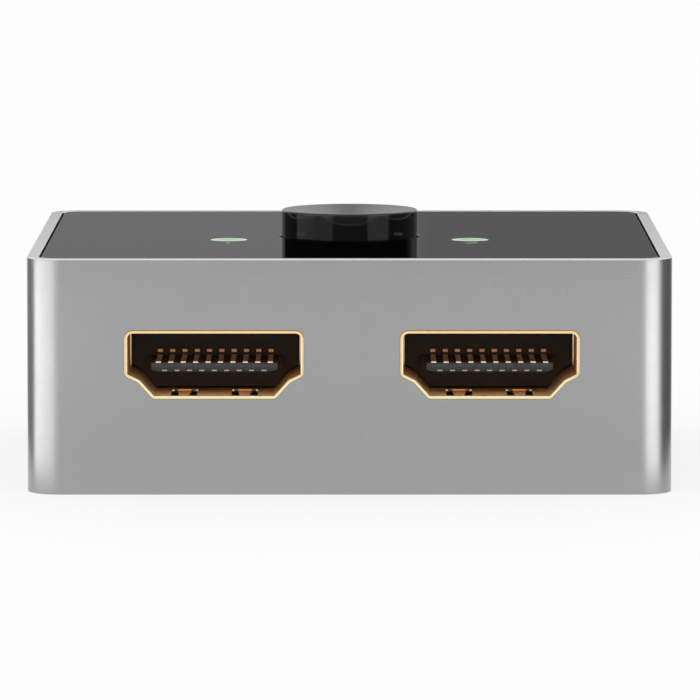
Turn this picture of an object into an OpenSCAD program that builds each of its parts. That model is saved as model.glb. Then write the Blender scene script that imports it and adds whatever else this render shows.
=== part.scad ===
// Two-to-one video switch box: an aluminium sleeve closed by two covers, two sockets in
// front, one behind, two status lights and a latching push button on top.
// Millimetres. The origin is the middle of the base, +Z is up and the front faces -Y.

/* [Housing] */
// Width of the sleeve
body_w = 52; // [50:0.5:70]
// Depth of the sleeve, front to back
body_d = 50; // [48:0.5:70]
// Height of the sleeve
body_h = 19; // [18.5:0.5:26]
// Outside radius of the sleeve's upright corners
corner_r = 2.7; // [2.2:0.1:4]
// Wall of the sleeve between its two ledges
wall_t = 1.6; // [1.4:0.1:2]
// Rim that stands round each cover
rim_t = 1; // [0.8:0.05:1.1]
// Bevel on the edges of the rim and the covers
edge_break = 0.12; // [0.05:0.01:0.2]

/* [Covers] */
// Thickness of the top cover
panel_t = 1.6; // [1.2:0.1:2]
// Thickness of the bottom cover
base_t = 1.5; // [1.2:0.1:2]
// How far the bottom cover lies above the surface that the sleeve stands on
base_recess = 0.15; // [0.1:0.05:0.4]
// Gap between a cover and the rim round it
cover_gap = 0.13; // [0.08:0.01:0.2]
// Diameter of the covers' screw posts
post_d = 3.8; // [3.4:0.1:4.2]
// Gap between a post and the sleeve's wall
post_gap = 0.4; // [0.3:0.1:0.8]

/* [Screws] */
// Diameter of the screws' shanks
screw_d = 1.6; // [1.4:0.1:1.8]
// Diameter of the countersunk heads
screw_head_d = 3.2; // [2.8:0.1:3.4]
// Length of screw that bites into the top cover's posts
screw_bite = 4; // [3:0.5:6]
// Radial play of a screw in its pilot bore and countersink
screw_play = 0.05; // [0.02:0.01:0.1]
// Bore that the screws pass through in the board and the standoffs
screw_pass_d = 2.2; // [2.1:0.1:2.4]

/* [Board] */
// Thickness of the circuit board
board_t = 1.6; // [1:0.1:2]
// Gap between the board's edge and the sleeve's wall
board_gap = 0.3; // [0.2:0.1:0.6]
// Height of the board's upper face above the base
board_top = 7.75; // [7:0.05:8.5]

/* [Sockets] */
// Distance from each side of the box to the middle of the front socket next to it
socket_inset = 14.92; // [14:0.02:16]
// Sideways offset of the front pair from the middle of the box
socket_shift = 0.2; // [-0.4:0.1:0.4]
// Outside width of a socket's shell
socket_w = 14.4; // [14:0.05:15]
// Outside height of a socket's shell
socket_h = 5.5; // [5:0.05:6]
// Length of a socket's shell from the box's face inward
socket_len = 11; // [10:0.1:12]
// Sheet that the shells are bent from
sheet_t = 0.25; // [0.2:0.01:0.3]
// Gap between a shell and its opening in the sleeve
socket_gap = 0.06; // [0.04:0.01:0.15]
// Depth of the insulator's back wall behind the box's face
socket_depth = 7; // [6:0.1:8]
// Width of the tongue
tongue_w = 10.15; // [10:0.05:10.6]
// Thickness of the tongue
tongue_t = 0.75; // [0.6:0.05:0.9]
// Height of the tongue's underside above the board
tongue_z = 2.05; // [2:0.05:2.3]
// Distance from the box's face back to the tongue's tip
tongue_recess = 1; // [0.6:0.1:1.6]
// Contacts above the tongue; the row below has one fewer
contact_count = 10; // [8:1:10]
// Distance between neighbouring contacts of one row
contact_pitch = 1; // [0.98:0.01:1]
// Width of a contact
contact_w = 0.4; // [0.3:0.02:0.44]
// Thickness of a contact
contact_t = 0.12; // [0.1:0.01:0.16]

/* [Button] */
// Diameter of the button
button_d = 11.3; // [10:0.1:13]
// Height of the button above the top cover
button_rise = 2.25; // [1.8:0.05:4]
// Distance of the button's axis in front of the middle of the box
button_offset = 2; // [0:0.1:3]
// Radius of the button's upper edge
button_edge_r = 0.2; // [0.1:0.05:0.5]
// Gap round the button in the top cover
button_gap = 0.18; // [0.1:0.01:0.3]
// How far the button goes down
press_travel = 1.5; // [1:0.1:1.8]

/* [Switch] */
// Side of the square switch under the button
switch_w = 7; // [6.6:0.1:8]
// Height of the switch above the board
switch_h = 6.3; // [6:0.1:6.6]
// Side of the square plunger
plunger_w = 2.6; // [2.4:0.1:3]
// Wire of the switch's spring
spring_wire = 0.25; // [0.2:0.01:0.3]
// Turns of the switch's spring
spring_turns = 5; // [3:1:5]

/* [Status lights] */
// Distance of each light from the middle of the box
light_x = 10; // [9.5:0.1:13]
// Distance of the lights in front of the middle of the box
light_offset = 5.8; // [4:0.1:7]
// Diameter of a light pipe at the top cover
light_d = 3; // [2.5:0.1:3.5]
// Gap round a light pipe in the top cover
light_gap = 0.04; // [0.02:0.01:0.1]

/* [Hidden] */
$fn = 48;

// Cuts run this far past the faces that they open
past = 0.5;

// Heights of the covers, the board and the posts
panel_z = body_h - panel_t;
base_top = base_recess + base_t;
board_z = board_top - board_t;
half_w = body_w / 2;
half_d = body_d / 2;
front = -half_d;
cover_inset = rim_t + cover_gap;
cover_r = corner_r - cover_inset;
post_x = half_w - wall_t - post_gap - post_d / 2;
post_y = half_d - wall_t - post_gap - post_d / 2;
bore_spare = 1;
head_sink = 0.05;
head_h = (screw_head_d - screw_d) / 2;
cross_slot = [1.8, 0.45, 0.7];
screw_tip_h = 0.6;
screw_tip_d = 0.8;

// Socket outline: upright sides, then a shallow and a steep slope down to the narrow bottom
side_z = 1.98;
knee_in = 1.08;
knee_z = 1.44;
foot_in = 2.28;
top_r = 0.48;
side_r = 0.4;
knee_r = 0.5;
foot_r = 0.36;
least_r = 0.05;
arc_steps = 5;

// Shell: spring fingers in the top and bottom walls, and four legs through the board
finger_x = 2.44;
finger_w = 1.1;
finger_root_w = 0.8;
slot_w = 2.1;
slot_near = 0.55;
slot_far = 4.8;
finger_far = 4.5;
finger_bump = 3.6;
finger_lift = 0.35;
finger_tip_lift = 0.2;
finger_root = 0.3;
leg_w = 1.2;
leg_depths = [3.4, 8.6];
leg_lap = 1.2;
leg_below = 0.5;
leg_play = 0.2;

// Insulator and contacts
insulator_gap = 0.04;
root_w = 10.9;
root_len = 0.8;
root_drop = 0.25;
tongue_bevel = 0.12;
tongue_corner = [0.7, 0.2];
tip_setback = 0.15;
tip_bend = 0.08;
foot_len = 1;
hook_near = 0.3;
hook_far = 0.6;
hook_low = 0.29;
hook_high = 0.53;
contact_play = 0.02;
tongue_top = tongue_z + tongue_t;

// Button cap and the switch below it
button_y = -button_offset;
cap_top = body_h + button_rise;
cap_wall = 0.9;
cap_roof = 1.2;
flange_w = 0.7;
flange_t = 0.8;
flange_gap = 0.15;
flange_top = panel_z - flange_gap;
stem_d = 4.8;
stem_clear = 0.4;
socket_grip = 2.5;
grip_play = 0.02;
switch_top = board_top + switch_h;
switch_floor = 0.8;
switch_roof = 1;
chamber_w = 4.6;
plunger_play = 0.1;
collar_w = 4.2;
collar_t = 0.8;
collar_gap = 0.1;
collar_top = switch_top - switch_roof - collar_gap;
stem_bottom = switch_top + press_travel + stem_clear;
plunger_top = stem_bottom + socket_grip;
chamber_floor = board_top + switch_floor;
spring_d = 2.6;
spring_clear = 0.02;
spring_rings = 12;
spring_sides = 6;
terminal_rows = 4.5;
terminal_pitch = 2;
terminal_size = [0.3, 0.6];
terminal_below = 0.9;
terminal_hole_d = 0.9;

// Light pipes and the LEDs below them
light_y = -light_offset;
light_flange_w = 0.7;
light_flange_t = 0.8;
light_bevel = 0.06;
led_size = [2, 1.25, 0.5];
led_lens_d = 1;
led_lens_h = 0.3;
led_air = 0.3;
led_top = board_top + led_size[2] + led_lens_h;

// Small parts on the board, behind the sockets and round the selector chip
array_size = [2.5, 1, 0.55];
array_pitch = 3.2;
array_count = 4;
array_gap = 1.2;
array_y = half_d - socket_len - foot_len - array_gap - array_size[1] / 2;
chip_size = [9, 3.5, 0.8];
chip_y = (button_y + switch_w / 2 + array_y - array_size[1] / 2) / 2;
pad_count = [17, 4];
pad_pitch = 0.5;
pad_size = [0.24, 0.06, 0.2];
mark_d = 0.5;
mark_depth = 0.08;
mark_in = 0.7;
cap_size = [1, 0.5, 0.5];
cap_pitch = 2;
cap_count = 4;
cap_gap = 0.8;
resistor_size = [1, 0.5, 0.35];
resistor_gap = 1.4;
resistor_pitch = 1.1;
resistor_count = 3;
end_share = 0.25;
end_lip = 0.02;
diode_size = [1.7, 1.25, 0.9];
diode_pitch = 2.2;
diode_count = 3;
diode_x = -12.5;
regulator_size = [2.9, 1.6, 1];
regulator_x = 12.5;
lead_pitch = 0.95;
lead_w = 0.4;
lead_t = 0.15;
lead_reach = 0.6;
lead_z = 0.55;
stand_off = 0.1;

aluminium = [0.68, 0.69, 0.7];
gloss_black = [0.06, 0.06, 0.065];
moulded_black = [0.12, 0.12, 0.125];
gold = [0.86, 0.68, 0.36];
insulator_black = [0.11, 0.09, 0.08];
board_black = [0.1, 0.11, 0.105];
steel = [0.62, 0.63, 0.65];
tin = [0.78, 0.78, 0.76];
lamp_green = [0.78, 0.9, 0.77];
ceramic_tan = [0.68, 0.56, 0.42];

function unit(v) = v / norm(v);

// Outward normal of the edge from a to b of an outline that runs anticlockwise
function outward(a, b) = let (u = unit(b - a)) [u[1], -u[0]];

function before(pts, i) = pts[(i + len(pts) - 1) % len(pts)];
function after(pts, i) = pts[(i + 1) % len(pts)];

// Corner i when every edge of the outline moves outward by g
function grown_corner(pts, i, g) =
  let (
    arriving = outward(before(pts, i), pts[i]),
    leaving = outward(pts[i], after(pts, i))
  )
  pts[i] + g * (arriving + leaving) / (1 + arriving * leaving);

function grown(pts, g) = [for (i = [0:len(pts) - 1]) grown_corner(pts, i, g)];

// +1 where the outline turns left, as a convex corner does, and -1 where it turns right
function turn_side(pts, i) = sign(cross(pts[i] - before(pts, i), after(pts, i) - pts[i]));

// Corner i as an arc of radius r that is tangent to both of its edges
function corner_arc(pts, i, r) =
  let (
    u = unit(before(pts, i) - pts[i]),
    v = unit(after(pts, i) - pts[i]),
    half = acos(u * v) / 2,
    centre = pts[i] + unit(u + v) * r / sin(half),
    start = pts[i] + u * r / tan(half) - centre,
    from = atan2(start[1], start[0]),
    turn = turn_side(pts, i) * (180 - 2 * half)
  )
  [for (k = [0:arc_steps]) let (a = from + turn * k / arc_steps) centre + r * [cos(a), sin(a)]];

// Right half of the socket's outline from its foot up, as [x, z, corner radius]
socket_half = [
  [socket_w / 2 - foot_in, 0, foot_r],
  [socket_w / 2 - knee_in, knee_z, knee_r],
  [socket_w / 2, side_z, side_r],
  [socket_w / 2, socket_h, top_r]
];
socket_corners = concat(
  [for (c = socket_half) [c[0], c[1]]],
  [for (k = [len(socket_half) - 1:-1:0]) [-socket_half[k][0], socket_half[k][1]]]
);
socket_radii = concat(
  [for (c = socket_half) c[2]],
  [for (k = [len(socket_half) - 1:-1:0]) socket_half[k][2]]
);

// The socket's outline, grown by g all round
function socket_outline(g) =
  let (pts = grown(socket_corners, g))
  [
    for (i = [0:len(pts) - 1])
      each corner_arc(pts, i, max(least_r, socket_radii[i] + g * turn_side(pts, i)))
  ];

// An upright outline as a prism between two depths behind the box's face
module in_depth(near, far) {
  translate([0, far, 0])
    rotate([90, 0, 0])
      linear_extrude(far - near) children();
}

// A side profile in depth and height as a bar of width w across the box
module across(w) {
  rotate([90, 0, 90]) linear_extrude(w, center = true) children();
}

// A wall profile, in distance from the corner's axis and height, carried round a rounded rectangle
module swept_ring(w, d, r) {
  for (side = [0:3]) {
    reach = (side % 2 == 0 ? w : d) / 2 - r;
    run = (side % 2 == 0 ? d : w) / 2 - r;
    rotate(90 * side) translate([reach, 0, 0]) {
      rotate([90, 0, 0]) linear_extrude(2 * run, center = true) children();
      translate([0, run, 0]) rotate_extrude(angle = 90) children();
    }
  }
}

// A plate with rounded corners and a bevelled upper edge
module slab(w, d, r, t, bevel) {
  swept_ring(w, d, r)
    polygon([[0, 0], [r, 0], [r, t - bevel], [r - bevel, t], [0, t]]);
  translate([r - w / 2, r - d / 2, 0]) cube([w - 2 * r, d - 2 * r, t]);
}

module at_posts() {
  for (x = [-post_x, post_x])
    for (y = [-post_y, post_y])
      translate([x, y, 0]) children();
}

// The frame of a socket: across, inward and up from the board; side is "left", "right" or "rear"
module at_socket(side) {
  if (side == "rear")
    translate([0, half_d, board_top]) rotate(180) children();
  else
    translate([socket_shift + (side == "left" ? -1 : 1) * (half_w - socket_inset), front, board_top])
      children();
}

module at_all_sockets() {
  for (side = ["left", "right", "rear"]) at_socket(side) children();
}

module at_legs() {
  for (side = [-1, 1])
    for (depth = leg_depths)
      translate([side * (socket_w - sheet_t) / 2, depth, 0]) children();
}

module at_terminals() {
  for (x = [-terminal_rows, terminal_rows] / 2)
    for (k = [-1:1])
      translate([x, button_y + k * terminal_pitch, 0]) children();
}

module at_light(side) {
  translate([(side == "left" ? -1 : 1) * light_x, light_y, 0]) children();
}

module sleeve() {
  color(aluminium)
    difference() {
      swept_ring(body_w, body_d, corner_r)
        polygon([
          [corner_r - edge_break, 0],
          [corner_r, edge_break],
          [corner_r, body_h - edge_break],
          [corner_r - edge_break, body_h],
          [corner_r - rim_t + edge_break, body_h],
          [corner_r - rim_t, body_h - edge_break],
          [corner_r - rim_t, panel_z],
          [corner_r - wall_t, panel_z],
          [corner_r - wall_t, base_top],
          [corner_r - rim_t, base_top],
          [corner_r - rim_t, edge_break],
          [corner_r - rim_t + edge_break, 0]
        ]);
      at_all_sockets()
        in_depth(-past, wall_t + past) polygon(socket_outline(socket_gap));
    }
}

module top_cover() {
  color(gloss_black)
    difference() {
      union() {
        translate([0, 0, panel_z])
          slab(body_w - 2 * cover_inset, body_d - 2 * cover_inset, cover_r, panel_t, edge_break);
        at_posts()
          translate([0, 0, board_top]) cylinder(h = body_h - panel_t / 2 - board_top, d = post_d);
      }
      at_posts()
        translate([0, 0, board_top - past])
          cylinder(h = screw_bite + bore_spare + past, d = screw_d + 2 * screw_play);
      translate([0, button_y, panel_z - past])
        cylinder(h = panel_t + 2 * past, d = button_d + 2 * button_gap);
      for (side = ["left", "right"])
        at_light(side)
          translate([0, 0, panel_z - past])
            cylinder(h = panel_t + 2 * past, d = light_d + 2 * light_gap);
    }
}

module bottom_cover() {
  color(moulded_black)
    difference() {
      union() {
        translate([0, 0, base_top])
          mirror([0, 0, 1])
            slab(body_w - 2 * cover_inset, body_d - 2 * cover_inset, cover_r, base_t, edge_break);
        at_posts()
          translate([0, 0, base_recess + base_t / 2])
            cylinder(h = board_z - base_recess - base_t / 2, d = post_d);
      }
      at_posts() {
        translate([0, 0, base_recess - past])
          cylinder(h = board_z - base_recess + 2 * past, d = screw_pass_d);
        translate([0, 0, base_recess + head_sink])
          cylinder(h = head_h, d1 = screw_head_d + 2 * screw_play, d2 = screw_d + 2 * screw_play);
        translate([0, 0, base_recess - past])
          cylinder(h = head_sink + past, d = screw_head_d + 2 * screw_play);
      }
    }
}

module cover_screw() {
  head_z = base_recess + head_sink;
  end_z = board_top + screw_bite;
  difference() {
    rotate_extrude()
      polygon([
        [0, head_z],
        [screw_head_d / 2, head_z],
        [screw_d / 2, head_z + head_h],
        [screw_d / 2, end_z - screw_tip_h],
        [screw_tip_d / 2, end_z],
        [0, end_z]
      ]);
    for (turn = [0, 90])
      translate([0, 0, head_z])
        rotate(turn) cube([cross_slot[0], cross_slot[1], 2 * cross_slot[2]], center = true);
  }
}

module cover_screws() {
  color(steel) at_posts() cover_screw();
}

module circuit_board() {
  board_inset = wall_t + board_gap;
  color(board_black)
    difference() {
      translate([0, 0, board_z])
        linear_extrude(board_t)
          square([body_w - 2 * board_inset, body_d - 2 * board_inset], center = true);
      at_posts()
        translate([0, 0, board_z - past]) cylinder(h = board_t + 2 * past, d = screw_pass_d);
      at_all_sockets()
        at_legs()
          translate([0, 0, -board_t / 2])
            cube([sheet_t + 2 * leg_play, leg_w + 2 * leg_play, board_t + 2 * past], center = true);
      at_terminals()
        translate([0, 0, board_z - past]) cylinder(h = board_t + 2 * past, d = terminal_hole_d);
    }
}

// One spring finger: it leaves the shell near the mouth, widens and bows into the socket
module shell_finger() {
  intersection() {
    across(finger_w)
      polygon([
        [slot_near - finger_root, 0],
        [slot_near + finger_root, 0],
        [finger_bump, finger_lift],
        [finger_far, finger_tip_lift],
        [finger_far, finger_tip_lift + sheet_t],
        [finger_bump, finger_lift + sheet_t],
        [slot_near + finger_root, sheet_t],
        [slot_near - finger_root, sheet_t]
      ]);
    translate([0, 0, -past])
      linear_extrude(height = finger_lift + sheet_t + 2 * past)
        polygon([
          [-finger_root_w / 2, slot_near - finger_root],
          [finger_root_w / 2, slot_near - finger_root],
          [finger_w / 2, finger_bump],
          [finger_w / 2, finger_far],
          [-finger_w / 2, finger_far],
          [-finger_w / 2, finger_bump]
        ]);
  }
}

module at_fingers() {
  for (x = [-finger_x, finger_x]) {
    translate([x, 0, 0]) children();
    translate([x, 0, socket_h]) mirror([0, 0, 1]) children();
  }
}

// Stamped shell: a bent tube with four spring fingers and four legs
module socket_shell(side) {
  color(gold)
    at_socket(side) {
      difference() {
        in_depth(0, socket_len)
          difference() {
            polygon(socket_outline(0));
            polygon(socket_outline(-sheet_t));
          }
        at_fingers()
          translate([-slot_w / 2, slot_near, -past])
            cube([slot_w, slot_far - slot_near, sheet_t + 2 * past]);
      }
      at_fingers() shell_finger();
      at_legs()
        translate([-sheet_t / 2, -leg_w / 2, -board_t - leg_below])
          cube([sheet_t, leg_w, board_t + leg_below + side_z + leg_lap]);
    }
}

// Side profiles of the contacts, in depth and height: along the tongue, through the insulator's
// block and down behind it to a foot on the board. The upper row lies on the tongue, and the lower row
// lies flush in its underside with the tips bent up.
contact_tip = tongue_recess + tip_setback;
contact_tail = [
  [socket_len, 0],
  [socket_len + foot_len, 0],
  [socket_len + foot_len, contact_t],
  [socket_len + contact_t, contact_t]
];
upper_contact = concat(
  [[contact_tip, tongue_top], [socket_len, tongue_top]],
  contact_tail,
  [
    [socket_len + contact_t, tongue_top + contact_t],
    [socket_depth + hook_far, tongue_top + contact_t],
    [socket_depth + hook_far, tongue_top + hook_high],
    [socket_depth, tongue_top + hook_high],
    [socket_depth, tongue_top + hook_low],
    [socket_depth + hook_near, tongue_top + hook_low],
    [socket_depth + hook_near, tongue_top + contact_t],
    [contact_tip, tongue_top + contact_t]
  ]
);
lower_contact = concat(
  [[tongue_recess, tongue_z + tip_bend], [tongue_recess + tip_bend, tongue_z], [socket_len, tongue_z]],
  contact_tail,
  [
    [socket_len + contact_t, tongue_z + contact_t],
    [tongue_recess + tip_bend, tongue_z + contact_t],
    [tongue_recess, tongue_z + tip_bend + contact_t]
  ]
);

// One row of contacts, centred on the socket, each with play to spare at its sides
module contact_row(profile, count, play) {
  for (k = [0:count - 1])
    translate([(k - (count - 1) / 2) * contact_pitch, 0, 0])
      across(contact_w + 2 * play) polygon(profile);
}

module both_contact_rows(play) {
  contact_row(upper_contact, contact_count, play);
  contact_row(lower_contact, contact_count - 1, play);
}

// The tongue's section has cut lower corners, and its tip is bevelled above and below
module tongue() {
  intersection() {
    in_depth(tongue_recess, socket_depth + past)
      polygon([
        [tongue_w / 2, tongue_top],
        [-tongue_w / 2, tongue_top],
        [-tongue_w / 2, tongue_z + tongue_corner[1]],
        [tongue_corner[0] - tongue_w / 2, tongue_z],
        [tongue_w / 2 - tongue_corner[0], tongue_z],
        [tongue_w / 2, tongue_z + tongue_corner[1]]
      ]);
    across(tongue_w)
      polygon([
        [tongue_recess, tongue_z + tongue_bevel],
        [tongue_recess + tongue_bevel, tongue_z],
        [socket_depth + past, tongue_z],
        [socket_depth + past, tongue_top],
        [tongue_recess + tongue_bevel, tongue_top],
        [tongue_recess, tongue_top - tongue_bevel]
      ]);
  }
}

module socket_insulator(side) {
  color(insulator_black)
    at_socket(side)
      difference() {
        union() {
          in_depth(socket_depth, socket_len)
            polygon(socket_outline(-sheet_t - insulator_gap));
          tongue();
          translate([-root_w / 2, socket_depth - root_len, tongue_z - root_drop])
            cube([root_w, root_len + past, tongue_t + root_drop]);
        }
        both_contact_rows(contact_play);
      }
}

module socket_contacts(side) {
  color(gold) at_socket(side) both_contact_rows(0);
}

module button_cap() {
  r = button_d / 2;
  edge = [
    for (k = [0:arc_steps])
      let (a = 90 * k / arc_steps)
      [r - button_edge_r + button_edge_r * sin(a), cap_top - button_edge_r + button_edge_r * cos(a)]
  ];
  color(gloss_black)
    translate([0, button_y, 0])
      difference() {
        rotate_extrude()
          polygon(concat(
            [[0, cap_top]],
            edge,
            [
              [r, flange_top],
              [r + flange_w, flange_top],
              [r + flange_w, flange_top - flange_t],
              [r - cap_wall, flange_top - flange_t],
              [r - cap_wall, cap_top - cap_roof],
              [stem_d / 2, cap_top - cap_roof],
              [stem_d / 2, stem_bottom],
              [0, stem_bottom]
            ]
          ));
        translate([0, 0, stem_bottom + (socket_grip - past) / 2])
          cube(
            [plunger_w + 2 * grip_play, plunger_w + 2 * grip_play, socket_grip + past],
            center = true
          );
      }
}

module switch_body() {
  guide_w = plunger_w + 2 * plunger_play;
  color(moulded_black)
    translate([0, button_y, 0])
      difference() {
        translate([-switch_w / 2, -switch_w / 2, board_top]) cube([switch_w, switch_w, switch_h]);
        translate([-chamber_w / 2, -chamber_w / 2, chamber_floor])
          cube([chamber_w, chamber_w, switch_h - switch_floor - switch_roof]);
        translate([-guide_w / 2, -guide_w / 2, switch_top - switch_roof - past])
          cube([guide_w, guide_w, switch_roof + 2 * past]);
      }
}

module switch_plunger() {
  color("white")
    translate([0, button_y, 0]) {
      translate([-plunger_w / 2, -plunger_w / 2, collar_top - collar_t])
        cube([plunger_w, plunger_w, plunger_top - collar_top + collar_t]);
      translate([-collar_w / 2, -collar_w / 2, collar_top - collar_t])
        cube([collar_w, collar_w, collar_t]);
    }
}

// The return spring: a wire of six sides wound between the chamber's floor and the collar
module switch_spring() {
  low = chamber_floor + spring_wire / 2 + spring_clear;
  high = collar_top - collar_t - spring_wire / 2 - spring_clear;
  last = spring_turns * spring_rings;
  points = [
    for (k = [0:last])
      let (turn = 360 * k / spring_rings, z = low + (high - low) * k / last)
      for (j = [0:spring_sides - 1])
        let (
          a = 360 * j / spring_sides,
          r = spring_d / 2 + spring_wire / 2 * cos(a)
        )
        [r * cos(turn), r * sin(turn), z + spring_wire / 2 * sin(a)]
  ];
  sides = [
    for (k = [0:last - 1])
      for (j = [0:spring_sides - 1])
        let (
          a = k * spring_sides + j,
          b = k * spring_sides + (j + 1) % spring_sides
        )
        each [
          [a, b + spring_sides, b],
          [a, a + spring_sides, b + spring_sides]
        ]
  ];
  near_end = [for (j = [1:spring_sides - 2]) [0, j, j + 1]];
  far_end = [
    for (j = [1:spring_sides - 2])
      [last * spring_sides, last * spring_sides + j + 1, last * spring_sides + j]
  ];
  color(steel)
    translate([0, button_y, 0])
      polyhedron(points, concat(sides, near_end, far_end));
}

module switch_terminals() {
  color(tin)
    at_terminals()
      translate([-terminal_size[0] / 2, -terminal_size[1] / 2, board_z - terminal_below])
        cube([terminal_size[0], terminal_size[1], board_t + terminal_below]);
}

// A light pipe carries an LED's light up to the top cover, and a flange holds it there
module light_pipe(side) {
  r = light_d / 2;
  foot_z = led_top + led_air;
  color(lamp_green)
    at_light(side)
      rotate_extrude()
        polygon([
          [0, foot_z],
          [r, foot_z],
          [r, panel_z - light_flange_t],
          [r + light_flange_w, panel_z - light_flange_t],
          [r + light_flange_w, panel_z],
          [r, panel_z],
          [r, body_h - light_bevel],
          [r - light_bevel, body_h],
          [0, body_h]
        ]);
}

module led(side) {
  color("white")
    at_light(side)
      translate([0, 0, board_top]) {
        translate([-led_size[0] / 2, -led_size[1] / 2, 0]) cube(led_size);
        cylinder(h = led_size[2] + led_lens_h, d = led_lens_d);
      }
}

module at_chip() {
  translate([0, chip_y, board_top]) children();
}

// A row of a chip's solder pads along +X, at a distance from the chip's middle
module pad_row(count, distance) {
  for (k = [0:count - 1])
    translate([(k - (count - 1) / 2) * pad_pitch - pad_size[0] / 2, distance - past, 0])
      cube([pad_size[0], past + pad_size[1], pad_size[2]]);
}

module selector_chip() {
  color(moulded_black)
    at_chip() {
      difference() {
        translate([-chip_size[0] / 2, -chip_size[1] / 2, 0]) cube(chip_size);
        translate([mark_in - chip_size[0] / 2, mark_in - chip_size[1] / 2, chip_size[2] - mark_depth])
          cylinder(h = mark_depth + past, d = mark_d);
      }
      for (turn = [0, 180]) {
        rotate(turn) pad_row(pad_count[0], chip_size[1] / 2);
        rotate(turn + 90) pad_row(pad_count[1], chip_size[0] / 2);
      }
    }
}

// A lead that leaves the package at mid height and steps down to the board
module lead(w) {
  across(w)
    polygon([
      [-past, lead_z],
      [lead_reach / 2 - lead_t, lead_z],
      [lead_reach / 2 - lead_t, 0],
      [lead_reach, 0],
      [lead_reach, lead_t],
      [lead_reach / 2, lead_t],
      [lead_reach / 2, lead_z + lead_t],
      [-past, lead_z + lead_t]
    ]);
}

module regulator() {
  color(moulded_black)
    at_chip()
      translate([regulator_x, 0, 0]) {
        translate([-regulator_size[0] / 2, -regulator_size[1] / 2, stand_off]) cube(regulator_size);
        for (k = [-1:1])
          translate([k * lead_pitch, regulator_size[1] / 2, 0]) lead(lead_w);
        for (k = [-1, 1])
          translate([k * lead_pitch, -regulator_size[1] / 2, 0]) rotate(180) lead(lead_w);
      }
}

module diodes() {
  color(moulded_black)
    at_chip()
      for (k = [0:diode_count - 1])
        translate([diode_x, (k - (diode_count - 1) / 2) * diode_pitch, 0]) {
          translate([-diode_size[0] / 2, -diode_size[1] / 2, stand_off]) cube(diode_size);
          for (turn = [0, 180])
            rotate(turn + 90) translate([0, diode_size[0] / 2, 0]) lead(lead_w);
        }
}

module surge_arrays() {
  depth = socket_len + foot_len + array_gap + array_size[1] / 2;
  color(moulded_black)
    at_all_sockets()
      for (k = [0:array_count - 1])
        translate([(k - (array_count - 1) / 2) * array_pitch, depth, array_size[2] / 2])
          cube(array_size, center = true);
}

// A two-ended part with metal caps that stand a little proud of its body
module end_capped(size) {
  ends = size[0] * end_share;
  body = [size[0], size[1] - 2 * end_lip, size[2] - end_lip];
  translate([-body[0] / 2, -body[1] / 2, 0]) cube(body);
  for (x = [-size[0] / 2, size[0] / 2 - ends])
    translate([x, -size[1] / 2, 0]) cube([ends, size[1], size[2]]);
}

module capacitors() {
  color(ceramic_tan)
    at_chip()
      for (side = [-1, 1])
        for (k = [0:cap_count - 1])
          translate([
            (k - (cap_count - 1) / 2) * cap_pitch,
            side * (chip_size[1] / 2 + cap_gap + cap_size[1] / 2),
            0
          ])
            end_capped(cap_size);
}

module resistors() {
  color(moulded_black)
    at_chip()
      for (side = [-1, 1])
        for (k = [0:resistor_count - 1])
          translate([
            side * (chip_size[0] / 2 + resistor_gap + resistor_size[0] / 2),
            (k - (resistor_count - 1) / 2) * resistor_pitch,
            0
          ])
            end_capped(resistor_size);
}

sleeve();
top_cover();
bottom_cover();
cover_screws();
circuit_board();
socket_shell("left");  // left_socket_shell
socket_insulator("left");  // left_socket_insulator
socket_contacts("left");  // left_socket_contacts
socket_shell("right");  // right_socket_shell
socket_insulator("right");  // right_socket_insulator
socket_contacts("right");  // right_socket_contacts
socket_shell("rear");  // rear_socket_shell
socket_insulator("rear");  // rear_socket_insulator
socket_contacts("rear");  // rear_socket_contacts
button_cap();
switch_body();
switch_plunger();
switch_spring();
switch_terminals();
light_pipe("left");  // left_light_pipe
light_pipe("right");  // right_light_pipe
led("left");  // left_led
led("right");  // right_led
selector_chip();
regulator();
diodes();
surge_arrays();
capacitors();
resistors();
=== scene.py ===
"""Finished pieces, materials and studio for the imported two-to-one video switch box.

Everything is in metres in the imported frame: the base stands on z = 0 and the two front sockets face -Y.
"""

import math

import bmesh
import bpy
import numpy as np
from bpy.props import FloatProperty, FloatVectorProperty, IntProperty, PointerProperty
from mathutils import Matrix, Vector


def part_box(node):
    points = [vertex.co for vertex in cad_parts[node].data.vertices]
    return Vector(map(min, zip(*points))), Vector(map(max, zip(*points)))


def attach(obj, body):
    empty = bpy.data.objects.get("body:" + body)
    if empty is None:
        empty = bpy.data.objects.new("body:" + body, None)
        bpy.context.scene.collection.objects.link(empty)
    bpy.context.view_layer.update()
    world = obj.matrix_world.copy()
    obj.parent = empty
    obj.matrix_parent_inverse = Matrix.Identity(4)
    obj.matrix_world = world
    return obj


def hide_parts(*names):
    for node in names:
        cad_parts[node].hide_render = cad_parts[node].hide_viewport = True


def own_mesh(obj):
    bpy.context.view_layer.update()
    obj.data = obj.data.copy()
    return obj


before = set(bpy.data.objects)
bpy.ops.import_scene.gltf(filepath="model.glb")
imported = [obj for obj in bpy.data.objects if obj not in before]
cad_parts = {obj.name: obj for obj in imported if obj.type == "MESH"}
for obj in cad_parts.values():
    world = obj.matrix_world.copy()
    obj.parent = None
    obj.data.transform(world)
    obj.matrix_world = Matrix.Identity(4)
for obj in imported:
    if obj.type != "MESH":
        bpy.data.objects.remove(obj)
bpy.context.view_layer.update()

bl_info = {
    "name": "Video switch box",
    "version": (1, 0, 0),
    "blender": (4, 5, 0),
    "location": "View3D > Sidebar > Switch box",
    "description": "Builds the finished pieces of a two-to-one video switch box and its studio",
    "category": "Object",
}

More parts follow.
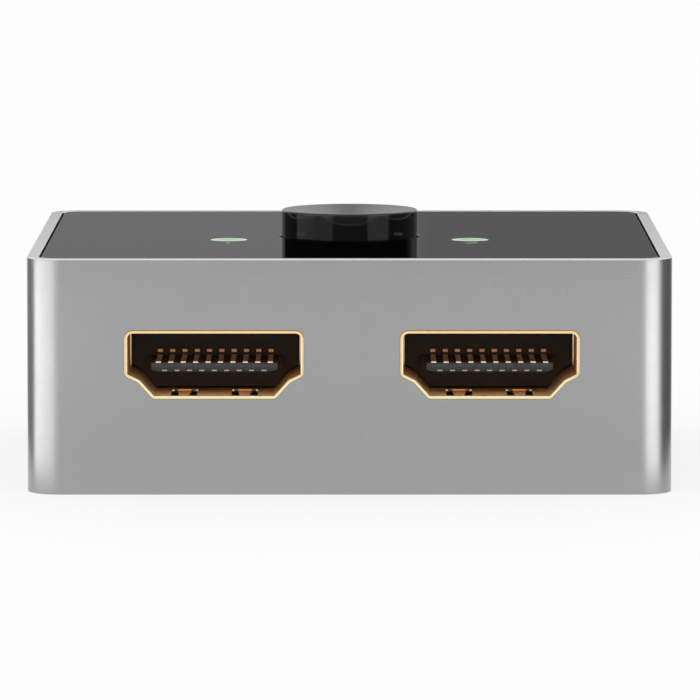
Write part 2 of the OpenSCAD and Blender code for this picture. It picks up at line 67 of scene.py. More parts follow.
MM = 0.001
SLEEVE_LOW, SLEEVE_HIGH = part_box("sleeve")
CAP_LOW, CAP_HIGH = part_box("button_cap")
LIGHT_LOW, LIGHT_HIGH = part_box("left_light_pipe")
BOARD_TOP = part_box("circuit_board")[1][2]
SMALL = 0.04 * MM  # rounding of edges that hardly show
HOLD = 0.05 * MM  # distance from a rounding to the points that keep the faces beside it flat
SPARE = 1.0 * MM  # length by which a cutter stands out of what it cuts


def measure(name, description, default):
    """A length property that shows in the scene's units."""
    return FloatProperty(
        name=name, description=description, default=default, min=0.0, unit="LENGTH", precision=5
    )


def number(name, description, default, most=10.0):
    """A plain number property from nought up."""
    return FloatProperty(name=name, description=description, default=default, min=0.0, max=most)


def count(name, description, default, least, most):
    """A whole number property."""
    return IntProperty(name=name, description=description, default=default, min=least, max=most)


def colour(name, description, default):
    """A colour property in linear light."""
    return FloatVectorProperty(
        name=name, description=description, default=default, size=3, min=0.0, max=1.0, subtype="COLOR"
    )


def spot(name, description, default):
    """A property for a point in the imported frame."""
    return FloatVectorProperty(
        name=name, description=description, default=default, size=3, subtype="TRANSLATION", unit="LENGTH"
    )


class HousingSizes(bpy.types.PropertyGroup):
    """Sizes of the sleeve and of the two covers that it holds."""

    width: measure("Width", "Outside width of the sleeve", SLEEVE_HIGH[0] - SLEEVE_LOW[0])
    depth: measure("Depth", "Outside depth of the sleeve", SLEEVE_HIGH[1] - SLEEVE_LOW[1])
    height: measure("Height", "Height of the sleeve", SLEEVE_HIGH[2])
    corner: measure("Corner radius", "Outside radius of the upright corners", 2.7 * MM)
    wall: measure("Wall", "Wall between the two ledges", 1.6 * MM)
    rim: measure("Rim", "Rim that stands round each cover", 0.96 * MM)
    edge: measure("Edge rounding", "Radius on the edges of the rims", 0.075 * MM)
    cover_edge: measure("Cover edge", "Radius on the edges of the covers", 0.06 * MM)
    gap: measure("Cover gap", "Gap between a cover and the rim round it", 0.19 * MM)
    panel: measure("Top cover", "Thickness of the top cover", 1.6 * MM)
    base: measure("Bottom cover", "Thickness of the bottom cover", 1.5 * MM)
    recess: measure("Base recess", "Height of the bottom cover above the ground", 0.15 * MM)
    post: measure("Post", "Diameter of the screw posts", 3.8 * MM)
    post_gap: measure("Post gap", "Gap between a post and the wall", 0.4 * MM)
    pilot: measure("Pilot bore", "Bore in the top cover's posts", 1.7 * MM)
    passage: measure("Passage", "Bore in the bottom cover's posts", 2.2 * MM)
    head: measure("Countersink", "Diameter of the countersinks", 3.3 * MM)
    board: measure("Board", "Thickness of the circuit board", 1.6 * MM)


class SocketSizes(bpy.types.PropertyGroup):
    """Sizes of the three sockets' stamped shells."""

    width: measure("Width", "Outside width of a shell", 14.4 * MM)
    height: measure("Height", "Outside height of a shell", 5.5 * MM)
    length: measure("Length", "Length of a shell from the face inward", 11.0 * MM)
    sheet: measure("Sheet", "Thickness of the stamped sheet", 0.25 * MM)
    gap: measure("Gap", "Gap round a shell in the sleeve", 0.02 * MM)
    lip: measure("Outer lip rounding", "Radius on the outer edge of the lip", 0.025 * MM)
    lip_in: measure("Inner lip rounding", "Radius on the inner edge of the lip", 0.1 * MM)
    mouth: measure("Mouth bevel", "Bevel round the sleeve's openings", 0.025 * MM)
    inset: measure("Inset", "Distance from a side of the box to the middle of a socket", 14.92 * MM)
    shift: measure("Shift", "Sideways offset of the front pair", 0.2 * MM)
    finger_x: measure("Finger place", "Distance of the spring fingers from the middle", 2.44 * MM)
    finger: measure("Finger width", "Width of a spring finger at its crest", 1.1 * MM)
    finger_root: measure("Finger root", "Width of a spring finger at its root", 0.78 * MM)
    slot: measure("Slot width", "Width of the window round a finger", 2.1 * MM)
    lift: measure("Finger bow", "How far a finger bows into the socket", 0.17 * MM)
    tip_lift: measure("Finger tip", "How far a finger's tip stands in the socket", 0.12 * MM)
    taper: number("Taper", "Share by which the inside narrows in one metre", 1.0)
    stop: measure("Stop", "Height of the step at the far end of the side walls", 0.08 * MM)
    tongue: measure("Tongue", "Height of the middle of the tongue above the board", 2.425 * MM)


class ControlSizes(bpy.types.PropertyGroup):
    """Sizes of the button, its spring, the light windows and the printed numerals."""

    button: measure("Button", "Diameter of the button", 11.3 * MM)
    shoulder: measure("Button shoulder", "Width of the rounding round the button's top", 0.16 * MM)
    shoulder_drop: measure("Shoulder drop", "Height of the rounding round the button's top", 0.14 * MM)
    button_gap: measure("Button gap", "Gap round the button", 0.18 * MM)
    flange: measure("Flange", "Diameter of the button's flange", CAP_HIGH[0] - CAP_LOW[0])
    turns: count("Facets", "Steps round the button", 144, 24, 512)
    travel: measure("Travel", "How far the button goes down", 1.5 * MM)
    wire: measure("Spring wire", "Thickness of the spring's wire", 0.25 * MM)
    coils: count("Coils", "Turns of the spring", 5, 2, 12)
    window: measure("Window", "Diameter of a light window", 3.06 * MM)
    window_gap: measure("Window gap", "Gap round a light window", 0.04 * MM)
    window_edge: measure("Window edge", "Radius of a window's upper edge", 0.07 * MM)
    numeral: measure("Numeral", "Height of the printed numerals", 1.7 * MM)
    stroke: measure("Stroke", "Width of the numerals' strokes", 0.26 * MM)
    numeral_lead: measure("Numeral place", "Distance of a numeral in front of its light", 3.4 * MM)


class Finishes(bpy.types.PropertyGroup):
    """Main colours of the finishes."""

    aluminium: colour("Aluminium", "Blasted and anodised sleeve", (0.375, 0.375, 0.375))
    gloss: colour("Gloss black", "Top cover and button", (0.001, 0.001, 0.0011))
    moulded: colour("Moulded black", "Bottom cover and switch", (0.022, 0.022, 0.023))
    gold: colour("Gold", "Lips of the plated shells", (0.88, 0.69, 0.41))
    # Painted reflection on the lips: warmer along the top, paler on the top's inner half, and pale along the
    # foot.
    crown: colour("Warm gold", "Outer half of the upper lips", (1.0, 0.65, 0.28))
    arch: colour("Soft gold", "Inner half of the upper lips", (1.0, 0.80, 0.46))
    sill: colour("Pale gold", "Lower lips of the plated shells", (1.0, 0.89, 0.52))
    well: colour("Inner gold", "Plated shells inside", (1.0, 0.54, 0.24))
    # Painted reflection on the spring fingers: orange, and redder at their raised ends.
    finger: colour("Finger gold", "Spring fingers", (1.0, 0.49, 0.27))
    crest: colour("Crest gold", "Raised ends of the spring fingers", (1.0, 0.36, 0.09))
    # Painted highlight on the step in the side walls.
    riser: colour("Step gold", "Step in the shells' side walls", (0.75, 0.5, 0.3))
    # Painted highlight in the far corners of the fingers' windows.
    corner: colour("Corner gold", "Far corners of the fingers' windows", (1.0, 0.86, 0.55))
    # Painted shade on the lower part of the sheet's cut edges.
    cut_shade: colour("Cut sheet", "Lower part of the sheet's cut edges", (0.02, 0.012, 0.007))
    # The contacts' plating in painted light and shade: pale where lit at the tips, brown in shade along the
    # tongue, and a redder painted light at the roots.
    contact: colour("Contact tips", "Plated tips of the contacts", (0.95, 0.84, 0.67))
    strip: colour("Contact strips", "Contacts along the tongue", (0.72, 0.45, 0.27))
    hook: colour("Contact roots", "Contacts at the back wall", (0.86, 0.45, 0.23))
    # The tongue's front in the lit tone; the same moulding further in is darker, as painted shade.
    tongue: colour("Tongue", "Scuffed tip of the tongue", (0.042, 0.041, 0.041))
    # Scaled paler and browner towards the floor inside, and darker towards the roof, as painted light.
    insulator: colour("Insulator", "Moulding inside the sockets", (0.012, 0.0072, 0.0036))
    lamp: colour("Lamp green", "Lit light windows", (0.26, 0.45, 0.25))
    # Painted highlight: a paler ring that stands for the light on the windows' rims.
    halo: colour("Lamp ring", "Paler ring in the light windows", (0.95, 1.0, 0.93))
    print: colour("Print", "Printed numerals", (0.16, 0.16, 0.162))
    board: colour("Board black", "Solder mask", (0.006, 0.0075, 0.0065))
    steel: colour("Spring steel", "Wire of the return spring", (0.6, 0.6, 0.61))


class Studio(bpy.types.PropertyGroup):
    """Camera and light."""

    focal: FloatProperty(
        name="Focal length", description="Focal length on a 36 mm sensor", default=342.85, unit="CAMERA"
    )
    eye: spot("Eye", "Place of the camera", (0.04 * MM, -557.5 * MM, 65.09 * MM))
    aim: spot("Aim", "Point that the camera looks at", (0.04 * MM, -25.0 * MM, 11.7 * MM))
    floor: colour("Floor", "Pale floor", (0.93, 0.93, 0.93))
    white: number("White floor", "Share of plain white in the floor as it is seen", 0.75, 1.0)
    dome: number("Ceiling", "Brightness overhead", 1.05)
    horizon: number("Horizon", "Brightness at eye level", 0.95)


def unit(v):
    """Vectors scaled to length one along the last axis."""
    return v / np.linalg.norm(v, axis=-1, keepdims=True)


def quads(rows, cols, close_rows=False, close_cols=False):
    """Corner indices of the quads of a grid of vertices, wrapped round where a direction is closed."""
    a, b = np.meshgrid(
        np.arange(rows if close_rows else rows - 1),
        np.arange(cols if close_cols else cols - 1),
        indexing="ij",
    )
    a_next, b_next = (a + 1) % rows, (b + 1) % cols
    return np.stack(
        [a * cols + b, a_next * cols + b, a_next * cols + b_next, a * cols + b_next], -1
    ).reshape(-1, 4)


def corner_arcs(corners, radii, steps, hold=0.0, closed=True):
    """Arcs that round the corners of an outline, as an array of corner, step and coordinate.

    With a half angle h between a corner's two edges, the arc of radius r starts r / tan(h) before the
    corner, and its centre lies r / sin(h) along the bisector. Where hold is given, one more point lies that
    far before and after each arc, and keeps the faces beside it flat under smooth shading.
    """
    p = np.asarray(corners, float)
    before, here, after = (
        (np.roll(p, 1, 0), p, np.roll(p, -1, 0)) if closed else (p[:-2], p[1:-1], p[2:])
    )
    r = np.asarray(radii, float)[:, None]
    back, on = unit(before - here), unit(after - here)
    half = np.arccos(np.clip((back * on).sum(1, keepdims=True), -1, 1)) / 2
    centre = here + unit(back + on) * r / np.sin(half)
    start, end = here + back * r / np.tan(half), here + on * r / np.tan(half)
    side = np.sign(back[:, 1] * on[:, 0] - back[:, 0] * on[:, 1])[:, None]
    angle = side * (np.pi - 2 * half) * np.linspace(0, 1, steps + 1)
    spoke = (start - centre)[:, None]
    cos, sin = np.cos(angle), np.sin(angle)
    arc = centre[:, None] + np.stack(
        [spoke[..., 0] * cos - spoke[..., 1] * sin, spoke[..., 0] * sin + spoke[..., 1] * cos], -1
    )
    if hold:
        arc = np.concatenate([(start + back * hold)[:, None], arc, (end + on * hold)[:, None]], axis=1)
    return arc


def grown(corners, radii, g):
    """Corners and radii of an anticlockwise outline whose edges all move outward by g."""
    p = np.asarray(corners, float)
    arrive, leave = unit(p - np.roll(p, 1, 0)), unit(np.roll(p, -1, 0) - p)
    turned_right = np.array([[0.0, -1.0], [1.0, 0.0]])
    n_arrive, n_leave = arrive @ turned_right, leave @ turned_right
    moved = p + g * (n_arrive + n_leave) / (1 + (n_arrive * n_leave).sum(1, keepdims=True))
    side = np.sign(arrive[:, 0] * leave[:, 1] - arrive[:, 1] * leave[:, 0])
    return moved, np.maximum(np.asarray(radii) + g * side, SMALL)


def ring_stations(width, depth, radius, steps=14, hold=0.12 * MM):
    """Stations round a rounded rectangle: the corners' axes and the outward directions there.

    A point at distance q outside a corner's axis is axis + q * direction, on the straight sides too.
    """
    first = np.arange(4)[:, None] * np.pi / 2 - np.pi / 2
    share = np.concatenate([[0.0], np.linspace(0, 1, steps + 1), [1.0]])
    angle = first + share * np.pi / 2
    slide = np.concatenate([[-hold], np.zeros(steps + 1), [hold]])
    axis = np.array([[1, -1], [1, 1], [-1, 1], [-1, -1]]) * [width / 2 - radius, depth / 2 - radius]
    direction = np.stack([np.cos(angle), np.sin(angle)], -1)
    along = np.stack([-np.sin(angle), np.cos(angle)], -1)
    place = axis[:, None] + slide[None, :, None] * along
    return place.reshape(-1, 2), direction.reshape(-1, 2)


def carried_round(profile, width, depth, radius):
    """A profile of inset and height round a rounded rectangle: axis + (radius - inset) * direction."""
    place, direction = ring_stations(width, depth, radius)
    reach = radius - profile[:, 0]
    flat = place[:, None] + direction[:, None] * reach[None, :, None]
    height = np.broadcast_to(profile[None, :, 1:], flat.shape[:2] + (1,))
    return np.concatenate([flat, height], -1)


def revolved(profile, centre, steps):
    """A profile of radius and height turned about an upright axis: (r cos a, r sin a, z)."""
    angle = np.linspace(0, 2 * np.pi, steps, endpoint=False)[:, None]
    r, z = np.transpose(profile)
    height = np.broadcast_to(z, (steps, len(z)))
    return np.stack([centre[0] + r * np.cos(angle), centre[1] + r * np.sin(angle), height], -1)


def level_middle(node):
    """Middle of a CAD node's box, seen from above."""
    low, high = (np.array(corner, float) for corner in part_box(node))
    return ((low + high) / 2)[:2]


def new_piece(name, points, faces, finish=None):
    """An object at the origin from an array of points and lists of faces, welded and facing outward."""
    mesh = bpy.data.meshes.new(name)
    mesh.from_pydata(np.reshape(points, (-1, 3)).tolist(), [], faces)
    work = bmesh.new()
    work.from_mesh(mesh)
    bmesh.ops.remove_doubles(work, verts=work.verts, dist=1e-8)
    bmesh.ops.recalc_face_normals(work, faces=work.faces)
    work.to_mesh(mesh)
    work.free()
    if finish:
        mesh.materials.append(finish)
    piece = bpy.data.objects.new(name, mesh)
    bpy.context.scene.collection.objects.link(piece)
    return piece


def capped(points):
    """Faces of a closed loop carried along a path, with a flat face over each end."""
    rows, cols = points.shape[:2]
    ends = [list(range(cols)), list(range((rows - 1) * cols, rows * cols))]
    return quads(rows, cols, close_cols=True).tolist() + ends


def turned_piece(name, points, finish):
    """A piece from the points of a revolved profile, closed round its axis."""
    return new_piece(name, points, quads(*points.shape[:2], close_rows=True).tolist(), finish)


def turned_cutter(name, profile, centre, steps):
    """A solid of revolution whose profile runs from one flat end to the other, away from the axis."""
    points = revolved(profile, centre, steps).transpose(1, 0, 2)
    return new_piece(name, points, capped(points))


def join_or_cut(piece, others, operation):
    """Unites a piece with other solids or cuts them out of it, and removes them."""
    for other in others:
        step = piece.modifiers.new(other.name, "BOOLEAN")
        step.object, step.operation, step.solver = other, operation, "EXACT"
    result = bpy.data.meshes.new_from_object(
        piece.evaluated_get(bpy.context.evaluated_depsgraph_get())
    )
    old = piece.data
    name = old.name
    piece.modifiers.clear()
    piece.data = result
    bpy.data.meshes.remove(old)
    result.name = name
    for other in others:
        mesh = other.data
        bpy.data.objects.remove(other)
        bpy.data.meshes.remove(mesh)
    if not result.polygons:
        raise RuntimeError(f"nothing is left of {piece.name}")


def mark(piece, name, values, domain="POINT"):
    """Stores one number for each vertex or face of a piece, in the order in which they were made."""
    store = piece.data.attributes.new(name, "FLOAT", domain).data
    if len(store) != np.size(values):
        raise RuntimeError(f"{piece.name} was welded, so that {name} no longer fits")
    store.foreach_set("value", np.asarray(values, np.float32).ravel())


def smooth(piece, angle=32):
    """Smooth shading with sharp edges past an angle in degrees."""
    mesh = piece.data
    mesh.polygons.foreach_set("use_smooth", np.ones(len(mesh.polygons), bool))
    mesh.set_sharp_from_angle(angle=math.radians(angle))
    mesh.update()
    return piece


def settle(piece, body, slot, *nodes):
    """Puts a finished piece on a body in place of CAD nodes; the record's slot for its finish is not used.
    """
    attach(piece, body)
    if nodes:
        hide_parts(*nodes)


def finish_nodes(material, *names):
    """Gives CAD nodes a finish in place of their plain one."""
    for name in names:
        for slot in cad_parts[name].material_slots:
            slot.material = material


def shade(tone, factor):
    """A colour made darker or lighter."""
    return tuple(min(1.0, c * factor) for c in tone)


class Nodes:
    """Adds patterns, tones and sums to a node tree."""

    def __init__(self, tree):
        self.tree = tree

    def feed(self, socket, value):
        """Links a socket where another one is given, and sets it where a number, vector or colour is."""
        if isinstance(value, bpy.types.NodeSocket):
            self.tree.links.new(value, socket)
        elif socket.type == "RGBA":
            socket.default_value = (*value, 1.0)
        else:
            socket.default_value = value

    def add(self, kind, inputs=None, **settings):
        """A node of a kind, with its settings and with what its sockets are fed."""
        node = self.tree.nodes.new(f"ShaderNode{kind}")
        for key, value in settings.items():
            setattr(node, key, value)
        for key, value in (inputs or {}).items():
            self.feed(node.inputs[key], value)
        return node

    def place(self):
        """Object coordinates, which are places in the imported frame."""
        return self.add("TexCoord").outputs["Object"]

    def height(self):
        """Height of a point above the ground."""
        return self.add("SeparateXYZ", {"Vector": self.place()}).outputs["Z"]

    def depth(self, face):
        """How far a point lies behind the box's front or back, which lie at face from the middle."""
        y = self.add("SeparateXYZ", {"Vector": self.place()}).outputs["Y"]
        return self.sum("SUBTRACT", face, self.sum("ABSOLUTE", y))

    def attribute(self, name):
        """A number that the piece carries for each vertex or face."""
        return self.add("Attribute", attribute_name=name).outputs["Fac"]

    def noise(self, scale, detail=2.0, roughness=0.5, stretch=(1, 1, 1)):
        """Noise on Object coordinates, with its pattern drawn out by a scale for each axis."""
        where = self.add("Mapping", {"Vector": self.place(), "Scale": stretch}).outputs["Vector"]
        sizes = {"Scale": scale, "Detail": detail, "Roughness": roughness}
        return self.add("TexNoise", {"Vector": where, **sizes}).outputs["Fac"]

    def spread(self, value, low, high, start=0.3, end=0.7):
        """A range of a pattern, its middle unless another is given, mapped to run from low to high."""
        ends = {"From Min": start, "From Max": end, "To Min": low, "To Max": high}
        return self.add("MapRange", {"Value": value, **ends}).outputs["Result"]

    def blend(self, value, first, second):
        """A colour between two colours, by a pattern."""
        return self.add("Mix", {0: value, 6: first, 7: second}, data_type="RGBA").outputs[2]

    def between(self, value, first, second):
        """A number between two numbers, by a pattern."""
        return self.add("Mix", {0: value, 2: first, 3: second}, data_type="FLOAT").outputs[0]

    def sum(self, operation, first, second=0.0, clamp=False):
        """One or two numbers added, taken away, multiplied or compared."""
        return self.add("Math", {0: first, 1: second}, operation=operation, use_clamp=clamp).outputs[0]

    def vector(self, operation, first, second):
        """One vector taken from another, or crossed with it."""
        return self.add("VectorMath", {0: first, 1: second}, operation=operation).outputs[0]


class Finish(Nodes):
    """A material with one principled shader, and the constants set on the shader's own sockets."""

    def __init__(self, name, **constants):
        self.material = bpy.data.materials.new(name)
        self.material.use_nodes = True
        super().__init__(self.material.node_tree)
        self.shader = self.tree.nodes["Principled BSDF"]
        for key, value in constants.items():
            self.shader.inputs[key.replace("_", " ")].default_value = value

    def bump(self, height, strength, distance):
        """A normal from a height pattern."""
        sizes = {"Strength": strength, "Distance": distance}
        return self.add("Bump", {"Height": height, **sizes}).outputs["Normal"]

    def drive(self, **sources):
        """Links patterns to the shader's sockets by name, and gives the material."""
        for key, source in sources.items():
            self.tree.links.new(source, self.shader.inputs[key.replace("_", " ")])
        return self.material


def satin_aluminium(tone, top, edge):
    """Bead-blasted and anodised aluminium: a fine even grain, and a paler rim up to the height top, a
    painted highlight.

    The rounding of the rim's edges, which is edge high, is the brightest, a painted highlight along them.
    """
    f = Finish("satin_aluminium", Metallic=1.0)
    grain = f.noise(7000.0, 3.0, 0.6)
    skin = f.blend(f.spread(grain, 0, 1), shade(tone, 0.98), shade(tone, 1.02))
    # Painted highlight on the rim: paler on its top face, and brightest on the rounding of its edges.
    cut = f.spread(f.height(), 0, 1, top - edge, top - 0.8 * edge)
    flat = f.spread(f.height(), 0, 1, top - 0.004 * MM, top - 0.002 * MM)
    rim = f.blend(flat, shade(tone, 2.2), shade(tone, 1.6))
    return f.drive(
        Base_Color=f.blend(cut, skin, rim),
        Roughness=f.spread(f.noise(700.0), 0.27, 0.31),
        Normal=f.bump(grain, 0.015, 0.01 * MM),
    )


def gloss_black(tone):
    """Polished black plastic with a faint waviness and handling marks in its polish."""
    f = Finish("gloss_black", IOR=1.5)
    smear = f.noise(120.0, 5.0, 0.6, (1, 2.5, 1))
    # Pale specks of dirt on the polish.
    brightening = f.spread(f.noise(4200.0, 1.0), 0, 1, 0.5, 0.8)
    return f.drive(
        Base_Color=f.blend(brightening, tone, shade(tone, 1.5)),
        Roughness=f.spread(smear, 0.012, 0.03),
        Normal=f.bump(f.noise(260.0, 1.0), 0.03, 0.02 * MM),
    )


def button_black(tone, drop, top, centre, satin):
    """Polished black sides, handled dull towards the top, under a top that is turned to a satin.

    The top's fine grain runs round the centre, and is smoother towards it. It reaches out to the radius
    satin, and the rounding between top and sides is as high as drop.
    """
    f = Finish("button_black", IOR=1.5, Anisotropic=0.95)
    grain = f.noise(5200.0)
    handled = f.spread(f.height(), 0.02, 0.055, top - 1.5 * MM, top - 1.1 * MM)
    smear = f.spread(f.noise(160.0, 4.0, 0.6), -0.008, 0.008)
    out = f.vector("SUBTRACT", f.place(), (*centre, top))
    from_axis = f.add("VectorMath", {0: out}, operation="LENGTH").outputs["Value"]
    turned = f.spread(from_axis, 0.045, 0.125, 0, satin)
    uneven = f.spread(grain, -0.01, 0.01)
    face = f.spread(f.height(), 0, 1, top - 0.7 * drop, top - 0.4 * drop)
    return f.drive(
        Base_Color=f.blend(grain, shade(tone, 0.85), shade(tone, 1.25)),
        Roughness=f.between(face, f.sum("ADD", handled, smear), f.sum("ADD", turned, uneven)),
        Tangent=f.vector("CROSS_PRODUCT", (0, 0, 1), out),
        Normal=f.bump(grain, 0.02, 0.005 * MM),
    )


def moulded_black(tone, name="moulded_black"):
    """Black plastic from a spark-eroded mould: a fine pebbled grain."""
    f = Finish(name, IOR=1.5)
    pebble = f.noise(3800.0, 3.0, 0.6)
    return f.drive(
        Base_Color=f.blend(f.noise(150.0, 3.0), shade(tone, 0.8), shade(tone, 1.3)),
        Roughness=f.spread(pebble, 0.45, 0.62),
        Normal=f.bump(pebble, 0.30, 0.03 * MM),
    )


def plated(name, tone, smoothest, roughest):
    """Bright plate over rolled metal: soft draw lines and slight changes of tone."""
    f = Finish(name, Metallic=1.0)
    lines = f.noise(900.0, 3.0, 0.6)
    return f.drive(
        Base_Color=f.blend(f.noise(260.0), shade(tone, 0.93), shade(tone, 1.04)),
        Roughness=f.spread(lines, smoothest, roughest),
        Normal=f.bump(lines, 0.05, 0.01 * MM),
    )


def gold_plate(tones, face, floor, roof):
    """Gold over stamped sheet, one plating painted in lit and shaded tones: a painted reflection warm along
    the top of the lip and pale along its foot, and duller inside, with the walls in painted shade above a
    paler floor.

    The sheet's own attributes guide it. The plate is painted orange where spring is above nought, on the
    fingers, and redder where it comes to one, on their crests, as painted reflection. It has painted
    highlights where gleam is one, on the step in the side walls and in the windows' far corners. Brim runs
    from nought at the lip's outer edge to one at its inner edge. The edges that cut marks are dark below the
    floor, as painted shade, and a painted shadow darkens the floor past a depth of
    5.7 mm. Floor and roof bound the opening's height.
    """
    f = Finish("gold_plate", Specular_IOR_Level=0.3)
    lines = f.noise(900.0, 3.0, 0.6, (1, 0.25, 1))
    depth, height, spring = f.depth(face), f.height(), f.attribute("spring")
    # Marks the places that get painted highlights: the step in the side walls and the windows' far corners.
    gleam = f.spread(f.attribute("gleam"), 0, 1, 0.6, 0.75)

    # Painted reflection on the lip: warm towards the top, paler on the top's inner half, and pale along the
    # foot.
    crown = f.spread(height, 0, 1, roof - 0.6 * MM, roof - 0.2 * MM)
    sill = f.spread(height, 1, 0, floor + 1.2 * MM, floor + 1.8 * MM)
    arch = f.blend(f.spread(f.attribute("brim"), 0, 1, 0.35, 0.6), tones.crown, tones.arch)
    lip = f.blend(sill, f.blend(crown, tones.gold, arch), tones.sill)

    # Painted light on the floor inside: a little darker near the mouth, and a painted shadow, nearly black,
    # past a depth of 5.7 mm.
    far = f.spread(depth, 0, 1, 0.4 * MM, 3.5 * MM)
    ground = f.blend(far, shade(tones.well, 0.95), tones.well)
    deep_shadow = f.spread(depth, 0, 1, 5.7 * MM, 5.9 * MM)
    ground = f.blend(deep_shadow, ground, shade(tones.well, 0.1))
    # Painted light and shade: the floor in the well's full tone, and the walls above it shaded to 0.56 of
    # it.
    low = f.spread(height, 1, 0, floor + 0.05 * MM, floor + 0.4 * MM)
    dull = f.blend(low, shade(tones.well, 0.56), ground)
    dull = f.blend(f.spread(f.noise(260.0), 0, 0.15), dull, shade(tones.well, 0.5))
    # Painted highlight on the step in the side walls.
    dull = f.blend(gleam, dull, tones.riser)
    # Painted reflection on the fingers: orange, and redder at their crests.
    crest = f.spread(spring, 0, 1, 0.955, 0.97)
    on_finger = f.spread(spring, 0, 1, 0.01, 0.05)
    dull = f.blend(on_finger, dull, f.blend(crest, tones.finger, tones.crest))

    # Cut edges: a darker gold, with a painted highlight in the windows' far corners and painted shade on
    # their lower part.
    below = f.spread(height, 1, 0, floor - 0.14 * MM, floor - 0.1 * MM)
    edge = f.blend(gleam, shade(tones.gold, 0.5), tones.corner)
    edge = f.blend(below, edge, tones.cut_shade)

    inner = f.spread(depth, 0, 1, 0.1 * MM, 0.35 * MM)
    bright = f.sum("MULTIPLY", f.sum("MAXIMUM", crest, gleam), 0.9)
    brushed = f.sum("SUBTRACT", inner, gleam, clamp=True)
    return f.drive(
        Base_Color=f.blend(f.attribute("cut"), f.blend(inner, lip, dull), edge),
        Metallic=f.sum("MAXIMUM", f.spread(inner, 1.0, 0.1, 0, 1), bright),
        Roughness=f.between(brushed, f.spread(lines, 0.16, 0.24), f.spread(lines, 0.34, 0.44)),
        Normal=f.bump(lines, 0.02, 0.01 * MM),
    )


def contact_gold(tones, face, middle):
    """Gold over sprung contacts, one plating in lit and shaded tones: pale at the tips, where it is painted
    as lit, brown along the tongue in painted shade, and redder at the root in painted light.

    The tips over the tongue are pale below, and those under it, below the height middle, are pale above, at
    about half, and nearly black below, as painted shade.
    """
    f = Finish("contact_gold")
    depth, height = f.depth(face), f.height()
    lines = f.noise(900.0, stretch=(3, 0.25, 1))
    # Painted shade: the strips along the tongue in a brown tone, varied by draw lines.
    painted_shading = f.blend(lines, shade(tones.strip, 0.85), shade(tones.strip, 1.15))
    # The tips over the tongue in the pale lit tone below, and their tops in painted shade.
    high_part = f.spread(height, 0, 1, middle + 0.44 * MM, middle + 0.47 * MM)
    high_tip = f.blend(high_part, tones.contact, painted_shading)
    # Painted shade on the tips under the tongue: pale at about half above, nearly black below.
    low_part = f.spread(height, 1, 0, middle - 0.28 * MM, middle - 0.24 * MM)
    low_tip = f.blend(low_part, shade(tones.contact, 0.48), shade(tones.strip, 0.2))
    upper = f.spread(height, 0, 1, middle - 0.02 * MM, middle + 0.02 * MM)
    behind_tip = f.spread(depth, 0, 1, 1.2 * MM, 1.5 * MM)
    strip = f.blend(behind_tip, f.blend(upper, low_tip, high_tip), painted_shading)
    # Painted light at the root: a redder tone at the back wall.
    at_root = f.spread(depth, 0, 1, 6.6 * MM, 6.9 * MM)
    front_metal = f.spread(depth, 1.0, 0.1, 1.2 * MM, 6.0 * MM)
    return f.drive(
        Base_Color=f.blend(at_root, strip, tones.hook),
        Metallic=f.sum("MAXIMUM", front_metal, f.spread(at_root, 0, 0.7, 0, 1)),
        Roughness=f.spread(lines, 0.3, 0.4),
    )


def insulator_black(tones, face, floor, roof, middle):
    """Glass-filled black moulding: greyer at the tongue's mottled tip, paler towards its top as painted
    light, darker further in as painted shade, and browner and paler inside near the floor as painted light.
    """
    f = Finish("insulator_black", IOR=1.5, Specular_IOR_Level=0.3)
    grain = f.noise(5200.0, 3.0, 0.6)
    # Painted light: the tongue's tip much paler towards its top.
    painted_shading = f.spread(f.height(), 0, 1, middle - 0.1 * MM, middle + 0.3 * MM)
    tip = f.blend(painted_shading, shade(tones.tongue, 0.8), shade(tones.tongue, 1.9))
    scuffed = f.blend(f.spread(grain, 0, 0.6), tip, shade(tones.tongue, 0.6))
    # Painted light: the moulding inside paler and browner towards the floor, and darker towards the roof.
    brightening = f.spread(f.height(), 7.0, 0.6, floor, roof)
    clean = f.add("VectorMath", {0: tones.insulator, "Scale": brightening}, operation="SCALE").outputs[0]
    # Painted shade: behind the tongue's front the moulding takes its darker tone.
    inner = f.spread(f.depth(face), 0, 1, 1.05 * MM, 2.5 * MM)
    return f.drive(
        Base_Color=f.blend(inner, scuffed, clean),
        Roughness=f.spread(grain, 0.48, 0.62),
        Normal=f.bump(grain, 0.2, 0.02 * MM),
    )


def lit_window(tones):
    """A clear moulded window, lit from below: green, and paler in a ring near the rim, a painted highlight,
    where its ring attribute is one.
    """
    f = Finish("lit_window", IOR=1.49, Emission_Strength=0.3)
    # Painted highlight: a paler ring near the rim, in the colour and in the emission.
    glow_and_highlight, cloud = f.attribute("glow_and_highlight"), f.noise(1400.0)
    return f.drive(
        Base_Color=f.blend(glow_and_highlight, shade(tones.lamp, 0.8), shade(tones.lamp, 1.1)),
        Emission_Color=f.blend(glow_and_highlight, shade(tones.lamp, 1.5), tones.halo),
        Roughness=f.spread(cloud, 0.12, 0.22),
        Normal=f.bump(cloud, 0.03, 0.01 * MM),
    )


def printed(tone):
    """Screen-printed ink: matt, with a few thin spots."""
    f = Finish("printed_ink", IOR=1.45)
    speck = f.noise(5000.0)
    return f.drive(
        Base_Color=f.blend(f.spread(speck, 0, 1), shade(tone, 0.7), tone),
        Roughness=f.spread(speck, 0.35, 0.55),
        Normal=f.bump(speck, 0.1, 0.004 * MM),
    )


